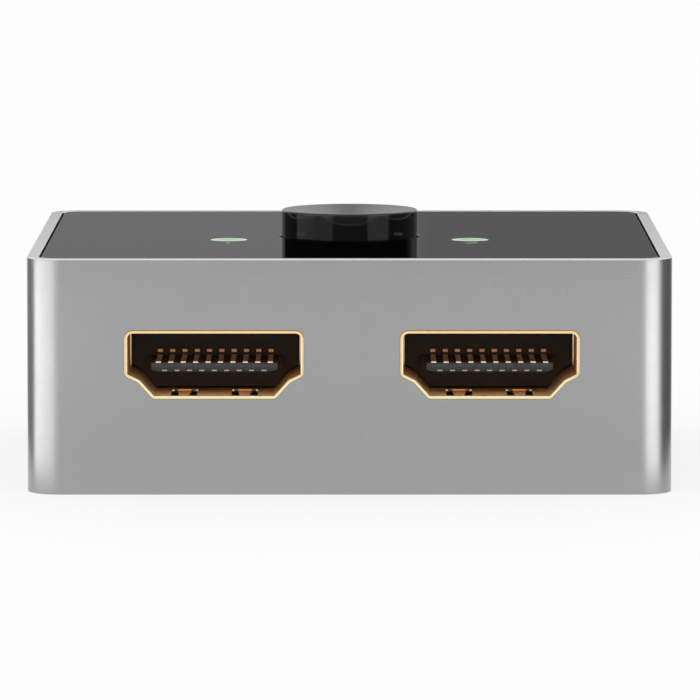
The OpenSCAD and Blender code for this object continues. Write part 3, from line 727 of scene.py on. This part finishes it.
def solder_mask(tone):
    """Circuit board: solder mask, paler over the copper tracks below it."""
    f = Finish("solder_mask", IOR=1.5, Specular_IOR_Level=0.2)
    greys = {"Color1": (0, 0, 0), "Color2": (0.25, 0.25, 0.25), "Mortar": (1, 1, 1)}
    sizes = {"Scale": 220.0, "Mortar Size": 0.06, "Brick Width": 1.7, "Row Height": 0.25}
    tracks = f.add("TexBrick", {"Vector": f.place(), **greys, **sizes}).outputs["Color"]
    return f.drive(
        Base_Color=f.blend(tracks, shade(tone, 0.8), shade(tone, 1.6)),
        Roughness=f.spread(f.noise(900.0), 0.5, 0.65),
        Normal=f.bump(tracks, 0.2, 0.03 * MM),
    )


def ceramic(name, tone):
    """Small fired or moulded parts: a speckled body with a dull skin."""
    f = Finish(name, IOR=1.5)
    speck = f.noise(6000.0, 3.0, 0.6)
    return f.drive(
        Base_Color=f.blend(f.spread(speck, 0, 1), shade(tone, 0.75), shade(tone, 1.2)),
        Roughness=f.spread(speck, 0.4, 0.6),
        Normal=f.bump(speck, 0.15, 0.01 * MM),
    )


def socket_corners(s):
    """Corners and radii of a socket's outline, anticlockwise from its right foot."""
    half_w = s.width / 2
    half = np.array(
        [
            [half_w - 2.28 * MM, 0.0],
            [half_w - 1.08 * MM, 1.31 * MM],
            [half_w, 1.84 * MM],
            [half_w, s.height],
        ]
    )
    radii = np.array([0.36, 0.5, 0.4, 0.66]) * MM
    return np.concatenate([half, half[::-1] * [-1, 1]]), np.concatenate([radii, radii[::-1]])


def socket_places(scene):
    """Name, middle of the mouth, and the sign of both level axes for each socket."""
    h, s = scene.box_housing, scene.box_sockets
    side, face = h.width / 2 - s.inset, h.depth / 2
    return [
        ("left", (s.shift - side, -face), 1.0),
        ("right", (s.shift + side, -face), 1.0),
        ("rear", (0.0, face), -1.0),
    ]


def set_at(points, mouth, sign):
    """Points across, inward and up from a socket's mouth, moved into the box's frame."""
    return points * [sign, sign, 1.0] + [mouth[0], mouth[1], BOARD_TOP]


class SleeveOperator(bpy.types.Operator):
    """Sweep the sleeve's wall profile round the box and open it for the sockets"""

    bl_idname = "switch_box.sleeve"
    bl_label = "Sleeve"

    def execute(self, context):
        h, s = context.scene.box_housing, context.scene.box_sockets
        low_ledge, high_ledge = h.recess + h.base, h.height - h.panel
        corners = [
            (0, 0), (0, h.height), (h.rim, h.height), (h.rim, high_ledge),
            (h.wall, high_ledge), (h.wall, low_ledge), (h.rim, low_ledge), (h.rim, 0),
        ]
        radii = [h.edge] * 3 + [SMALL] * 4 + [h.edge]
        profile = corner_arcs(corners, radii, 5, HOLD).reshape(-1, 2)
        points = carried_round(profile, h.width, h.depth, h.corner)
        faces = quads(*points.shape[:2], close_rows=True, close_cols=True).tolist()
        finish = satin_aluminium(context.scene.box_finishes.aluminium, h.height, h.edge)
        piece = new_piece("sleeve_skin", points, faces, finish)
        cutters = [self.cutter(s, h, *place) for place in socket_places(context.scene)]
        join_or_cut(piece, cutters, "DIFFERENCE")
        settle(smooth(piece), "housing", "satin_aluminium", "sleeve")
        return {"FINISHED"}

    @staticmethod
    def cutter(s, h, name, mouth, sign):
        """The opening's outline carried inward, with a flare that bevels the sleeve's outer edge."""
        rings = []
        for depth, grow in ((-SPARE, s.gap + s.mouth + SPARE), (s.mouth, s.gap), (h.wall + SPARE, s.gap)):
            outline = corner_arcs(*grown(*socket_corners(s), grow), 6).reshape(-1, 2)
            rings.append(np.insert(outline, 1, depth, axis=1))
        points = set_at(np.array(rings), mouth, sign)
        return new_piece(f"{name}_opening", points, capped(points))


class CoverOperator(bpy.types.Operator):
    """Sweep the edges of the two covers, close them and add posts, bores and openings"""

    bl_idname = "switch_box.covers"
    bl_label = "Covers"

    def execute(self, context):
        h, c, tones = context.scene.box_housing, context.scene.box_controls, context.scene.box_finishes
        top, ledge, hidden_edge = h.height, h.height - h.panel, 0.05 * MM
        panel = self.plate(h, "top_panel", ledge, top, h.cover_edge, hidden_edge, gloss_black(tones.gloss))
        join_or_cut(panel, self.posts(h, "post", h.post, BOARD_TOP, top - h.panel / 2), "UNION")
        bore_depth = 5 * MM
        bores = self.posts(h, "pilot", h.pilot, BOARD_TOP - SPARE, BOARD_TOP + bore_depth)
        for name, node, radius, bevel in (
            ("button_hole", "button_cap", c.button / 2 + c.button_gap, 0.05 * MM),
            ("left_hole", "left_light_pipe", c.window / 2 + c.window_gap, 0.04 * MM),
            ("right_hole", "right_light_pipe", c.window / 2 + c.window_gap, 0.04 * MM),
        ):
            bores.append(self.flared(name, level_middle(node), radius, bevel, ledge, top))
        join_or_cut(panel, bores, "DIFFERENCE")
        settle(smooth(panel), "housing", "gloss_black", "top_cover")

        low, board_low = h.recess, BOARD_TOP - h.board
        sink_rim, sink_depth = 0.05 * MM, 0.85 * MM
        finish = moulded_black(tones.moulded)
        base = self.plate(h, "base_panel", low, low + h.base, hidden_edge, h.cover_edge, finish)
        join_or_cut(base, self.posts(h, "standoff", h.post, low + h.base / 2, board_low), "UNION")
        sinks = self.posts(h, "passage", h.passage, low - SPARE, board_low + SPARE)
        sinks += self.posts(h, "sink", h.head, low - SPARE, low + sink_depth, h.pilot, low + sink_rim)
        join_or_cut(base, sinks, "DIFFERENCE")
        settle(smooth(base), "housing", "moulded_black", "bottom_cover")
        return {"FINISHED"}

    @staticmethod
    def plate(h, name, low, high, upper, lower, finish):
        """A flat plate: its rounded edge carried round the cover's outline, closed above and below."""
        inset, inner = h.rim + h.gap, 0.5 * MM
        corners = [(inner, low), (0, low), (0, high), (inner, high)]
        profile = corner_arcs(corners, [lower, upper], 5, HOLD, closed=False).reshape(-1, 2)
        points = carried_round(profile, h.width - 2 * inset, h.depth - 2 * inset, h.corner - inset)
        points = points.transpose(1, 0, 2)
        return new_piece(name, points, capped(points), finish)

    @staticmethod
    def posts(h, name, diameter, low, high, top_diameter=None, shoulder=None):
        """Four upright pins at the posts' places, drawn in above the shoulder where one is given."""
        inset = h.wall + h.post_gap + h.post / 2
        x, y = h.width / 2 - inset, h.depth / 2 - inset
        profile = [(diameter / 2, low), (diameter / 2, shoulder or high)]
        if shoulder:
            profile.append((top_diameter / 2, high))
        return [
            turned_cutter(f"{name}_{k}", profile, (sx * x, sy * y), 40)
            for k, (sx, sy) in enumerate([(1, -1), (1, 1), (-1, 1), (-1, -1)])
        ]

    @staticmethod
    def flared(name, centre, radius, bevel, low, high):
        """A round opening through a cover, flared by a bevel at its upper edge."""
        flare = (radius + bevel + SPARE, high + SPARE)
        return turned_cutter(name, [(radius, low - SPARE), (radius, high - bevel), flare], centre, 96)


class SocketOperator(bpy.types.Operator):
    """Bend the sockets' stamped shells, with their spring fingers, and plate the contacts"""

    bl_idname = "switch_box.sockets"
    bl_label = "Sockets"

    # Depths behind the mouth of a finger's root, crest and tip, of its window's end and of the walls' step.
    ROOT, CREST, TIP, WINDOW_END = 0.4 * MM, 3.6 * MM, 4.5 * MM, 4.8 * MM
    STEP, STEP_END = 6.0 * MM, 6.9 * MM
    CURL = 0.04 * MM  # length over which a finger rises to its crest
    RISER = 0.008 * MM  # depth of the slope up the step
    LEAN = 0.022 * MM  # how far the window's end leans back
    CLOSE = 1e-7  # less than any distance between two rows or places

    def execute(self, context):
        s, tones = context.scene.box_sockets, context.scene.box_finishes
        face = context.scene.box_housing.depth / 2
        floor, roof, middle = BOARD_TOP + s.sheet, BOARD_TOP + s.height, BOARD_TOP + s.tongue
        gold = gold_plate(tones, face, floor, roof)
        contact = contact_gold(tones, face, middle)
        insulator = insulator_black(tones, face, floor, roof, middle)
        points, faces, marks, cut = self.sheet(s)
        for name, mouth, sign in socket_places(context.scene):
            piece = new_piece(f"{name}_socket_sheet", set_at(points, mouth, sign), faces, gold)
            for key, values in marks.items():
                mark(piece, key, values)
            mark(piece, "cut", cut, "FACE")
            settle(smooth(piece, 40), "housing", "gold_plate", f"{name}_socket_shell")
            finish_nodes(contact, f"{name}_socket_contacts")
            finish_nodes(insulator, f"{name}_socket_insulator")
        return {"FINISHED"}

    @classmethod
    def sheet(cls, s):
        """The bent sheet as a grid of rows and of places along the outline, closed both ways.

        A row has a depth d behind the mouth and an offset g from the outside. The point for a place (x, z)
        on the outline moved by g is (x, d, z). The inside closes in by 1 - d * taper, and its side walls
        step in by stop. A finger bows into the socket by lift * (e / 5 + 4 / 5 * c * c * (3 - 2 c)), where
        e runs from its root to its crest and c over the curl before the crest, and it falls by a square
        behind the crest. Its edges close in by half of the difference in width times 1 - e.

        Gives points, faces, marks for the points and a mark for the cut walls, which the plate paints in
        shade below the floor.
        Of the marks, spring is e on the fingers, where the plate paints an orange reflection, gleam is one
        on the riser of the step and at the windows' far corners, where it paints highlights, and brim is -g
        / sheet.
        """
        half, row_g, row_d = cls.rows(s)
        outline = np.array([cls.outline(s, g) for g in row_g])
        x, z = outline[0].T
        inside = np.isclose(row_g, -s.sheet)
        at_window_end = np.isclose(row_d, cls.WINDOW_END)
        riser = inside & (row_d > cls.STEP - 2 * cls.RISER) & (row_d < cls.STEP + cls.CLOSE)
        stepped = inside & (row_d > cls.STEP - cls.CLOSE) & (row_d < cls.STEP_END + cls.CLOSE)
        upright = np.abs(x) > s.width / 2 - cls.CLOSE
        flat = np.isin(z, (0.0, s.height)) & (np.abs(x) < 4 * MM)
        from_finger = np.abs(np.abs(x) - s.finger_x)
        on_finger = flat & (from_finger < s.finger / 2 + cls.CLOSE)
        on_window_edge = flat & np.isclose(from_finger, s.slot / 2)

        sprung = (row_d <= cls.TIP + cls.CLOSE) & (row_d > cls.ROOT - cls.CLOSE)
        rise = np.clip((row_d - cls.ROOT) / (cls.CREST - cls.ROOT), 0, 1)
        curl = np.clip((row_d - cls.CREST) / cls.CURL + 1, 0, 1)
        fall = np.clip((row_d - cls.CREST) / (cls.TIP - cls.CREST), 0, 1)
        bow = s.lift * (0.2 * rise + 0.8 * curl * curl * (3 - 2 * curl))
        bow = (bow - (s.lift - s.tip_lift) * fall * fall) * sprung
        narrow = (s.finger - s.finger_root) / 2 * (1 - rise) * sprung
        side = np.sign(np.abs(x) - s.finger_x) * np.sign(x) * on_finger
        inward = np.where(z > s.height / 2, -1.0, 1.0) * on_finger
        close_in = 1 - inside * np.minimum(row_d, cls.STEP_END) * s.taper

        points = np.empty(outline.shape[:2] + (3,))
        points[..., 0] = outline[..., 0] * close_in[:, None] - narrow[:, None] * side
        points[..., 0] -= s.stop * np.sign(x) * (stepped[:, None] & upright)
        points[..., 1] = (row_d + cls.LEAN * (inside & at_window_end))[:, None]
        points[..., 2] = outline[..., 1] + bow[:, None] * inward
        # Marks that guide the plate's painted light: the fingers' painted reflection, painted highlights on
        # the step and in the windows' far corners, and the lip's brim.
        marks = {
            "spring": (rise * sprung)[:, None] * on_finger,
            "gleam": (riser[:, None] & upright) | (at_window_end[:, None] & on_window_edge),
            "brim": np.broadcast_to(-row_g[:, None] / s.sheet, outline.shape[:2]),
        }
        tube, walls = cls.cells(s, half, row_d, x, flat)
        legs, leg_faces = cls.legs(s)
        faces = np.concatenate([tube, walls, leg_faces + points[..., 0].size])
        # The cut walls, which the plate paints with shade below the floor and with highlights in the
        # windows' far corners.
        cut = np.repeat([0, 1, 0], [len(tube), len(walls), len(leg_faces)])
        marks = {key: np.concatenate([v.ravel(), np.zeros(len(legs))]) for key, v in marks.items()}
        return np.concatenate([points.reshape(-1, 3), legs]), faces.tolist(), marks, cut

    @classmethod
    def rows(cls, s):
        """How many rows each side has, and the offset and depth of all of them.

        They run forward along the outside, round the lip in two quarter circles and back along the inside.
        """
        bend = np.linspace(cls.CREST - cls.CURL, cls.CREST, 7)
        depth = np.concatenate(
            [
                np.linspace(cls.ROOT, bend[0], 8)[:-1],
                bend,
                np.linspace(cls.CREST, cls.TIP, 6)[1:],
                [cls.WINDOW_END, cls.STEP - cls.RISER, cls.STEP, cls.STEP_END],
                [cls.STEP_END + 0.1 * MM, 9 * MM, s.length],
            ]
        )
        turn = np.linspace(0, np.pi / 2, 5)
        lip_g = np.concatenate([(np.cos(turn) - 1) * s.lip, (1 - np.sin(turn)) * s.lip_in - s.sheet])
        lip_d = np.concatenate([(1 - np.sin(turn)) * s.lip, (1 - np.cos(turn)) * s.lip_in])
        row_g = np.concatenate([np.zeros(depth.size), lip_g, np.full(depth.size, -s.sheet)])
        return depth.size, row_g, np.concatenate([depth[::-1], lip_d, depth])

    @classmethod
    def cells(cls, s, half, row_d, x, flat):
        """Faces of the sheet: the grid's cells, and the walls round the windows.

        The cells between a finger and the edge of its window are left out. Where a cell that is kept lies
        beside one that isn't, a wall joins the outside, which is the first half rows, and the inside.
        """
        mid_x = (x + np.roll(x, -1)) / 2
        off = np.where(flat & np.roll(flat, -1), np.abs(np.abs(mid_x) - s.finger_x), 1.0)
        mid_d = ((row_d + np.roll(row_d, -1)) / 2)[:, None]
        window = (mid_d > cls.ROOT) & (mid_d < cls.WINDOW_END) & (off < s.slot / 2)
        finger = (mid_d > cls.ROOT) & (mid_d < cls.TIP) & (off < s.finger / 2)
        keep = ~window | finger
        tube = quads(*keep.shape, close_rows=True, close_cols=True)[keep.ravel()]

        place = np.arange(keep.size).reshape(keep.shape)
        place = np.concatenate([place, place[:, :1]], 1)
        outer, inner, kept = place[:half], place[::-1][:half], keep[:half]
        a, b = np.nonzero(kept != np.roll(kept, 1, 1))
        across = [outer[a, b], outer[a + 1, b], inner[a + 1, b], inner[a, b]]
        c, d = np.nonzero(kept[1:] != kept[:-1])
        along = [outer[c + 1, d], outer[c + 1, d + 1], inner[c + 1, d + 1], inner[c + 1, d]]
        return tube, np.concatenate([np.stack(across, 1), np.stack(along, 1)])

    @staticmethod
    def outline(s, g):
        """A shell's outline moved outward by g, with places at the fingers' and the windows' edges."""
        arcs = corner_arcs(*grown(*socket_corners(s), g), 6)
        edges = np.array([s.finger_x + k * w / 2 for w in (s.slot, s.finger) for k in (-1, 1)])
        run = np.sort(np.concatenate([edges, -edges]))
        upper = np.stack([run[::-1], np.full(run.shape, s.height + g)], -1)
        lower = np.stack([run, np.full(run.shape, -g)], -1)
        return np.concatenate([arcs[:4].reshape(-1, 2), upper, arcs[4:].reshape(-1, 2), lower])

    @staticmethod
    def legs(s):
        """Four flat legs in the board: box corners, which are all the signs times half the size."""
        corner = np.array([(i, j, k) for i in (-1, 1) for j in (-1, 1) for k in (-1, 1)]) / 2
        box = corner * [s.sheet, 1.2 * MM, 4.3 * MM]
        across, middle, depths = (s.width - s.sheet) / 2, 0.05 * MM, (3.4 * MM, 8.6 * MM)
        foot = np.array([(k * across, d, middle) for k in (-1, 1) for d in depths])
        side = np.array(
            [(0, 1, 3, 2), (4, 6, 7, 5), (0, 4, 5, 1), (2, 3, 7, 6), (0, 2, 6, 4), (1, 5, 7, 3)]
        )
        faces = side + 8 * np.arange(len(foot))[:, None, None]
        return (foot[:, None] + box).reshape(-1, 3), faces.reshape(-1, 4)


class ButtonOperator(bpy.types.Operator):
    """Turn the button cap on its axis, with its flange, its hollow and the stem for the plunger

    The rounding round its top is a quarter of an ellipse, (r - a (1 - sin t), top - b (1 - cos t)).
    """

    bl_idname = "switch_box.button"
    bl_label = "Button"

    def execute(self, context):
        c, h = context.scene.box_controls, context.scene.box_housing
        r, flange, top = c.button / 2, c.flange / 2, CAP_HIGH[2]
        hollow, stem, roof = r - 0.9 * MM, 2.4 * MM, top - 1.2 * MM
        shelf = h.height - h.panel - 0.15 * MM
        flange_low = shelf - 0.8 * MM
        stem_low = min(CAP_LOW[2], flange_low)
        corners = [
            (0, top), (r, top), (r, shelf), (flange, shelf), (flange, flange_low), (hollow, flange_low),
            (hollow, roof), (stem, roof), (stem, stem_low), (0, stem_low),
        ]
        arcs = corner_arcs(corners, [0.05 * MM] * (len(corners) - 2), 4, HOLD, closed=False)
        a, b, hold = c.shoulder, c.shoulder_drop, 0.03 * MM
        t = np.linspace(0, np.pi / 2, 12)
        shoulder = np.stack([r - a * (1 - np.sin(t)), top - b * (1 - np.cos(t))], -1)
        rounded = [[(r - a - hold, top)], shoulder, [(r, top - b - hold)]]
        profile = np.concatenate([corners[:1], *rounded, arcs[1:].reshape(-1, 2), corners[-1:]])
        centre, satin = level_middle("button_cap"), r - 0.05 * MM
        finish = button_black(context.scene.box_finishes.gloss, b, top, centre, satin)
        piece = turned_piece("button_knob", revolved(profile, centre, c.turns), finish)
        settle(smooth(piece), "button", "button_black", "button_cap")
        return {"FINISHED"}


class SpringOperator(bpy.types.Operator):
    """Wind the switch's return spring, which on the switch shortens as the button goes down; this coil keeps
    one length

    With t from 0 to 1 along the wire, its middle lies at the angle a = 2 pi n t, the radius R and the height
    low + rise t, and the wire's round section adds (w cos b, w sin b) to the radius and the height.
    """

    bl_idname = "switch_box.spring"
    bl_label = "Spring"

    def execute(self, context):
        c, w = context.scene.box_controls, context.scene.box_controls.wire / 2
        low, high = (np.array(corner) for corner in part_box("switch_spring"))
        middle, rise = (low + high) / 2, high[2] - low[2] - 2 * w
        t = np.linspace(0, 1, 24 * c.coils + 1)[:, None]
        a, b = 2 * np.pi * c.coils * t, np.linspace(0, 2 * np.pi, 10, endpoint=False)
        r = (high[0] - low[0]) / 2 - w + w * np.cos(b)
        z = low[2] + w + rise * t + w * np.sin(b)
        points = np.stack([middle[0] + r * np.cos(a), middle[1] + r * np.sin(a), z], -1)
        finish = plated("spring_steel", context.scene.box_finishes.steel, 0.2, 0.32)
        piece = new_piece("switch_coil", points, capped(points), finish)
        settle(smooth(piece, 50), "housing", "spring_steel", "switch_spring")
        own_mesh(piece)
        return {"FINISHED"}


class LightOperator(bpy.types.Operator):
    """Turn the two light windows and light them, with a paler ring that is a painted highlight

    At the share q of a window's radius the painted ring's strength is exp(-((q - place) / width) ** 2).
    """

    bl_idname = "switch_box.lights"
    bl_label = "Lights"

    GLOW_PLACE, GLOW_WIDTH = 0.9, 0.28

    def execute(self, context):
        c, h = context.scene.box_controls, context.scene.box_housing
        r, top, low = c.window / 2, h.height, LIGHT_LOW[2]
        collar, ledge = (LIGHT_HIGH[0] - LIGHT_LOW[0]) / 2, h.height - h.panel
        collar_low = ledge - 0.8 * MM
        corners = [
            (0, top), (r, top), (r, ledge), (collar, ledge), (collar, collar_low), (r, collar_low),
            (r, low), (0, low),
        ]
        radii = [c.window_edge] + [SMALL] * (len(corners) - 3)
        arcs = corner_arcs(corners, radii, 4, 0.03 * MM, closed=False).reshape(-1, 2)
        face = np.stack([np.linspace(0, r - 0.2 * MM, 7), np.full(7, top)], -1)
        profile = np.concatenate([face, arcs, corners[-1:]])
        finish = lit_window(context.scene.box_finishes)
        for node in ("left_light_pipe", "right_light_pipe"):
            centre = level_middle(node)
            name = node.replace("light_pipe", "window")
            piece = turned_piece(name, revolved(profile, centre, 72), finish)
            place = np.empty(len(piece.data.vertices) * 3)
            piece.data.vertices.foreach_get("co", place)
            out = np.linalg.norm(place.reshape(-1, 3)[:, :2] - centre, axis=1) / r
            mark(piece, "glow_and_highlight", np.exp(-(((out - self.GLOW_PLACE) / self.GLOW_WIDTH) ** 2)))
            settle(smooth(piece), "housing", "lamp_green", node)
        return {"FINISHED"}


class NumeralOperator(bpy.types.Operator):
    """Print a plain numeral on the top cover in front of each light"""

    bl_idname = "switch_box.numerals"
    bl_label = "Numerals"

    # Corners of the strokes in half heights of a numeral, and the radii of the corners between the ends.
    ONE = ([(-0.42, 0.62), (0.0, 1.0), (0.0, -1.0)], [0.06])
    TWO = (
        [(-0.52, 0.5), (-0.52, 1.0), (0.52, 1.0), (0.52, 0.3), (-0.52, -1.0), (0.56, -1.0)],
        [0.48, 0.48, 0.45, 0.12],
    )
    INK = 0.008 * MM

    def execute(self, context):
        c, h = context.scene.box_controls, context.scene.box_housing
        ink = printed(context.scene.box_finishes.print)
        for name, side, (corners, radii) in (("1", "left", self.ONE), ("2", "right", self.TWO)):
            x, y = level_middle(f"{side}_light_pipe")
            points = self.stroke(np.array(corners), radii, c.numeral / 2, c.stroke)
            points = points + [x, y - c.numeral_lead, h.height]
            piece = new_piece(f"numeral_{name}", points, capped(points), ink)
            settle(piece, "housing", "gloss_black")
        return {"FINISHED"}

    @classmethod
    def stroke(cls, corners, radii, size, width):
        """A flat bar of ink along a path: the path's point + side * width / 2, between two heights."""
        arcs = corner_arcs(corners, radii, 8, closed=False).reshape(-1, 2)
        path = np.concatenate([corners[:1], arcs, corners[-1:]]) * size
        along = unit(np.gradient(path, axis=0))
        across = np.stack([along[:, 1], -along[:, 0]], -1)
        section = np.array([(-0.5, 0.0), (0.5, 0.0), (0.5, 1.0), (-0.5, 1.0)])
        flat = path[:, None] + across[:, None] * section[None, :, :1] * width
        height = np.broadcast_to(section[None, :, 1:] * cls.INK, flat.shape[:2] + (1,))
        return np.concatenate([flat, height], -1)


class InsideOperator(bpy.types.Operator):
    """Finish the pieces that are carried over from the solids: screws, board, switch and small parts"""

    bl_idname = "switch_box.inside"
    bl_label = "Screws and inside"

    # Finish, tone and nodes of the fired and moulded parts.
    SMALL_PARTS = (
        ("switch_white", (0.75, 0.75, 0.72), ["switch_plunger"]),
        ("led_white", (0.82, 0.82, 0.74), ["left_led", "right_led"]),
        ("chip_black", (0.03, 0.03, 0.03), ["selector_chip", "regulator", "diodes", "surge_arrays"]),
        ("capacitor_tan", (0.5, 0.38, 0.26), ["capacitors"]),
        ("resistor_black", (0.04, 0.04, 0.045), ["resistors"]),
    )

    def execute(self, context):
        tones = context.scene.box_finishes
        finish_nodes(plated("dark_steel", (0.16, 0.16, 0.165), 0.28, 0.42), "cover_screws")
        finish_nodes(plated("tinned_metal", (0.68, 0.68, 0.66), 0.3, 0.45), "switch_terminals")
        finish_nodes(solder_mask(tones.board), "circuit_board")
        finish_nodes(moulded_black(shade(tones.moulded, 1.2), "switch_black"), "switch_body")
        for name, tone, nodes in self.SMALL_PARTS:
            finish_nodes(ceramic(name, tone), *nodes)
        return {"FINISHED"}


class StageOperator(bpy.types.Operator):
    """Lay the floor, light the studio and set up the camera"""

    bl_idname = "switch_box.stage"
    bl_label = "Stage"

    # Radius and height in millimetres of the dish of cards: its slope, and the upright ring above that.
    SLOPE = [(45.0, 0.3), (83.35, 14.04), (83.4, 14.06), (85.8, 14.92), (85.85, 14.94), (100.0, 20.0)]
    RING = [(100.0, 20.05), (100.0, 26.74), (100.0, 26.77), (100.0, 32.0)]
    SLOPE_ENDS = (0.866, 1.244)  # factor on the sleeve's cards at the foot and at the head of the slope
    RING_RISE = 2.8e-5  # millimetres by which the parting in the ring rises, times its direction squared
    # Brightness of the cards by their direction in degrees: 0 is the camera's side, + is to its right.
    # The sleeve's cards go by their direction from the nearer front corner, and the others from the middle.
    SLEEVE_CARDS = [
        (-180, 0.9), (-152, 0.9), (-146, 0.3), (-101, 0.3), (-93, 2.65), (-78, 2.6), (-60, 2.35),
        (-45, 2.15), (-26, 1.95), (-9, 1.0), (17, 1.0), (30, 2.5), (62, 2.5), (84, 0.18), (146, 0.18),
        (152, 0.9), (180, 0.9),
    ]
    BUTTON_CARDS = [
        (-180, 0.24), (-145, 0.24), (-138, 0.1), (-99, 0.1), (-96, 0.84), (-63, 0.84), (-60, 0.72),
        (-30, 0.72), (-25, 0.2), (28, 0.2), (31, 0.87), (64, 0.87), (70, 0.13), (138, 0.13),
        (145, 0.155), (175.5, 0.155), (178.5, 0.24), (180, 0.24),
    ]
    PANEL_CARDS = [
        (-180, 0.24), (-145, 0.24), (-138, 0.02), (110, 0.02), (138, 0.3), (145, 0.155), (175.5, 0.155),
        (178.5, 0.24), (180, 0.24),
    ]

    def execute(self, context):
        studio, scene = context.scene.box_studio, context.scene
        scene.view_settings.view_transform = "Standard"
        self.floor(studio)
        self.cards(scene.box_housing)
        self.sky(studio)
        data = bpy.data.cameras.new("camera")
        data.lens, data.sensor_width, data.clip_start = studio.focal, 36.0, 0.01
        camera = bpy.data.objects.new("camera", data)
        scene.collection.objects.link(camera)
        camera.location = studio.eye
        look = Vector(studio.aim) - Vector(studio.eye)
        camera.rotation_euler = look.to_track_quat("-Z", "Y").to_euler()
        scene.camera = camera
        return {"FINISHED"}

    @staticmethod
    def floor(studio):
        """A flat square of floor, a little mottled, with a share of plain white where it is seen."""
        side = np.linspace(-4.0, 4.0, 9)
        x, y = np.meshgrid(side, side, indexing="ij")
        f = Finish("pale_floor", Roughness=0.9)
        f.drive(Base_Color=f.blend(f.noise(30.0, 3.0), shade(studio.floor, 0.995), studio.floor))
        path = f.add("LightPath").outputs
        seen = path["Is Camera Ray"]
        for kind in ("Is Glossy Ray", "Is Transmission Ray"):
            seen = f.sum("MAXIMUM", seen, path[kind])
        share = f.sum("MULTIPLY", seen, studio.white)
        white = f.add("Emission", {"Strength": 1.0}).outputs[0]
        mixed = f.add("MixShader", {0: share, 1: f.shader.outputs[0], 2: white}).outputs[0]
        f.feed(f.tree.nodes["Material Output"].inputs["Surface"], mixed)
        points = np.stack([x, y, np.zeros_like(x)], -1)
        piece = new_piece("floor", points, quads(*x.shape).tolist(), f.material)
        if piece.data.polygons[0].normal.z < 0:
            piece.data.flip_normals()

    def cards(self, h):
        """A dish of cards round the box, which only shows in reflections: its profile turned as (r, z).

        The slope carries the sleeve's cards, but for a narrow strip that the top of the button's side
        mirrors. The lower part of the ring above it shows in the button's side, and the upper part in the
        panel.
        """
        foot = np.linspace(self.SLOPE[0], self.SLOPE[1], 12)[:-1]
        profile = np.concatenate([foot, self.SLOPE[1:], self.RING]) * MM
        kinds = np.repeat([0, 1, 0, 1, 2], [len(foot) + 1, 2, 2, 2, 2])
        points = revolved(profile, (0, 0), 720)
        x, y = points[..., 0], points[..., 1]
        from_middle = np.degrees(np.arctan2(x, -y))
        points[:, -3:-1, 2] += self.RING_RISE * MM * from_middle[:, -3:-1] ** 2
        axis_x, axis_y = h.width / 2 - h.corner, h.depth / 2 - h.corner
        from_corner = np.degrees(np.arctan2(x - np.clip(x, -axis_x, axis_x), -(y + axis_y)))
        rise = np.interp(profile[:, 0], profile[[0, -1], 0], self.SLOPE_ENDS)
        on_sleeve = np.interp(from_corner, *np.transpose(self.SLEEVE_CARDS)) * rise
        on_button = np.interp(from_middle, *np.transpose(self.BUTTON_CARDS))
        on_panel = np.interp(from_middle, *np.transpose(self.PANEL_CARDS))
        material = bpy.data.materials.new("cards")
        material.use_nodes = True
        material.cycles.emission_sampling = "NONE"
        material.node_tree.nodes.clear()
        nodes = Nodes(material.node_tree)
        shine = nodes.add("Emission", {"Strength": nodes.attribute("level")}).outputs[0]
        nodes.add("OutputMaterial", {"Surface": shine})
        piece = turned_piece("cards", points, material)
        mark(piece, "level", np.choose(kinds, [on_sleeve, on_button, on_panel]))
        piece.visible_camera = piece.visible_diffuse = piece.visible_shadow = False
        piece.visible_transmission = False

    @staticmethod
    def sky(studio):
        """Even white light from all round, a little brighter overhead."""
        world = bpy.data.worlds.new("studio")
        bpy.context.scene.world = world
        world.use_nodes = True
        world.cycles.sampling_method = "NONE"
        world.node_tree.nodes.clear()
        nodes = Nodes(world.node_tree)
        way = nodes.add("TexCoord").outputs["Generated"]
        height = nodes.add("SeparateXYZ", {"Vector": way}).outputs["Z"]
        light = nodes.spread(height, studio.horizon, studio.dome, 0.0, 1.0)
        shine = nodes.add("Background", {"Color": light}).outputs[0]
        nodes.add("OutputWorld", {"Surface": shine})


class BoxPanel(bpy.types.Panel):
    """Lists the steps that build the switch box"""

    bl_idname = "VIEW3D_PT_switch_box"
    bl_label = "Switch box"
    bl_space_type = "VIEW_3D"
    bl_region_type = "UI"
    bl_category = "Switch box"

    def draw(self, context):
        for step in STEPS:
            self.layout.operator(step.bl_idname)


STEPS = (
    SleeveOperator,
    CoverOperator,
    SocketOperator,
    ButtonOperator,
    SpringOperator,
    LightOperator,
    NumeralOperator,
    InsideOperator,
    StageOperator,
)
GROUPS = {
    "box_housing": HousingSizes,
    "box_sockets": SocketSizes,
    "box_controls": ControlSizes,
    "box_finishes": Finishes,
    "box_studio": Studio,
}


def register():
    for cls in (*GROUPS.values(), *STEPS, BoxPanel):
        bpy.utils.register_class(cls)
    for name, group in GROUPS.items():
        setattr(bpy.types.Scene, name, PointerProperty(type=group))


def unregister():
    for name in GROUPS:
        delattr(bpy.types.Scene, name)
    for cls in reversed((*GROUPS.values(), *STEPS, BoxPanel)):
        bpy.utils.unregister_class(cls)


def main():
    register()
    for step in STEPS:
        getattr(bpy.ops.switch_box, step.bl_idname.split(".")[1])()


if __name__ == "__main__":
    main()
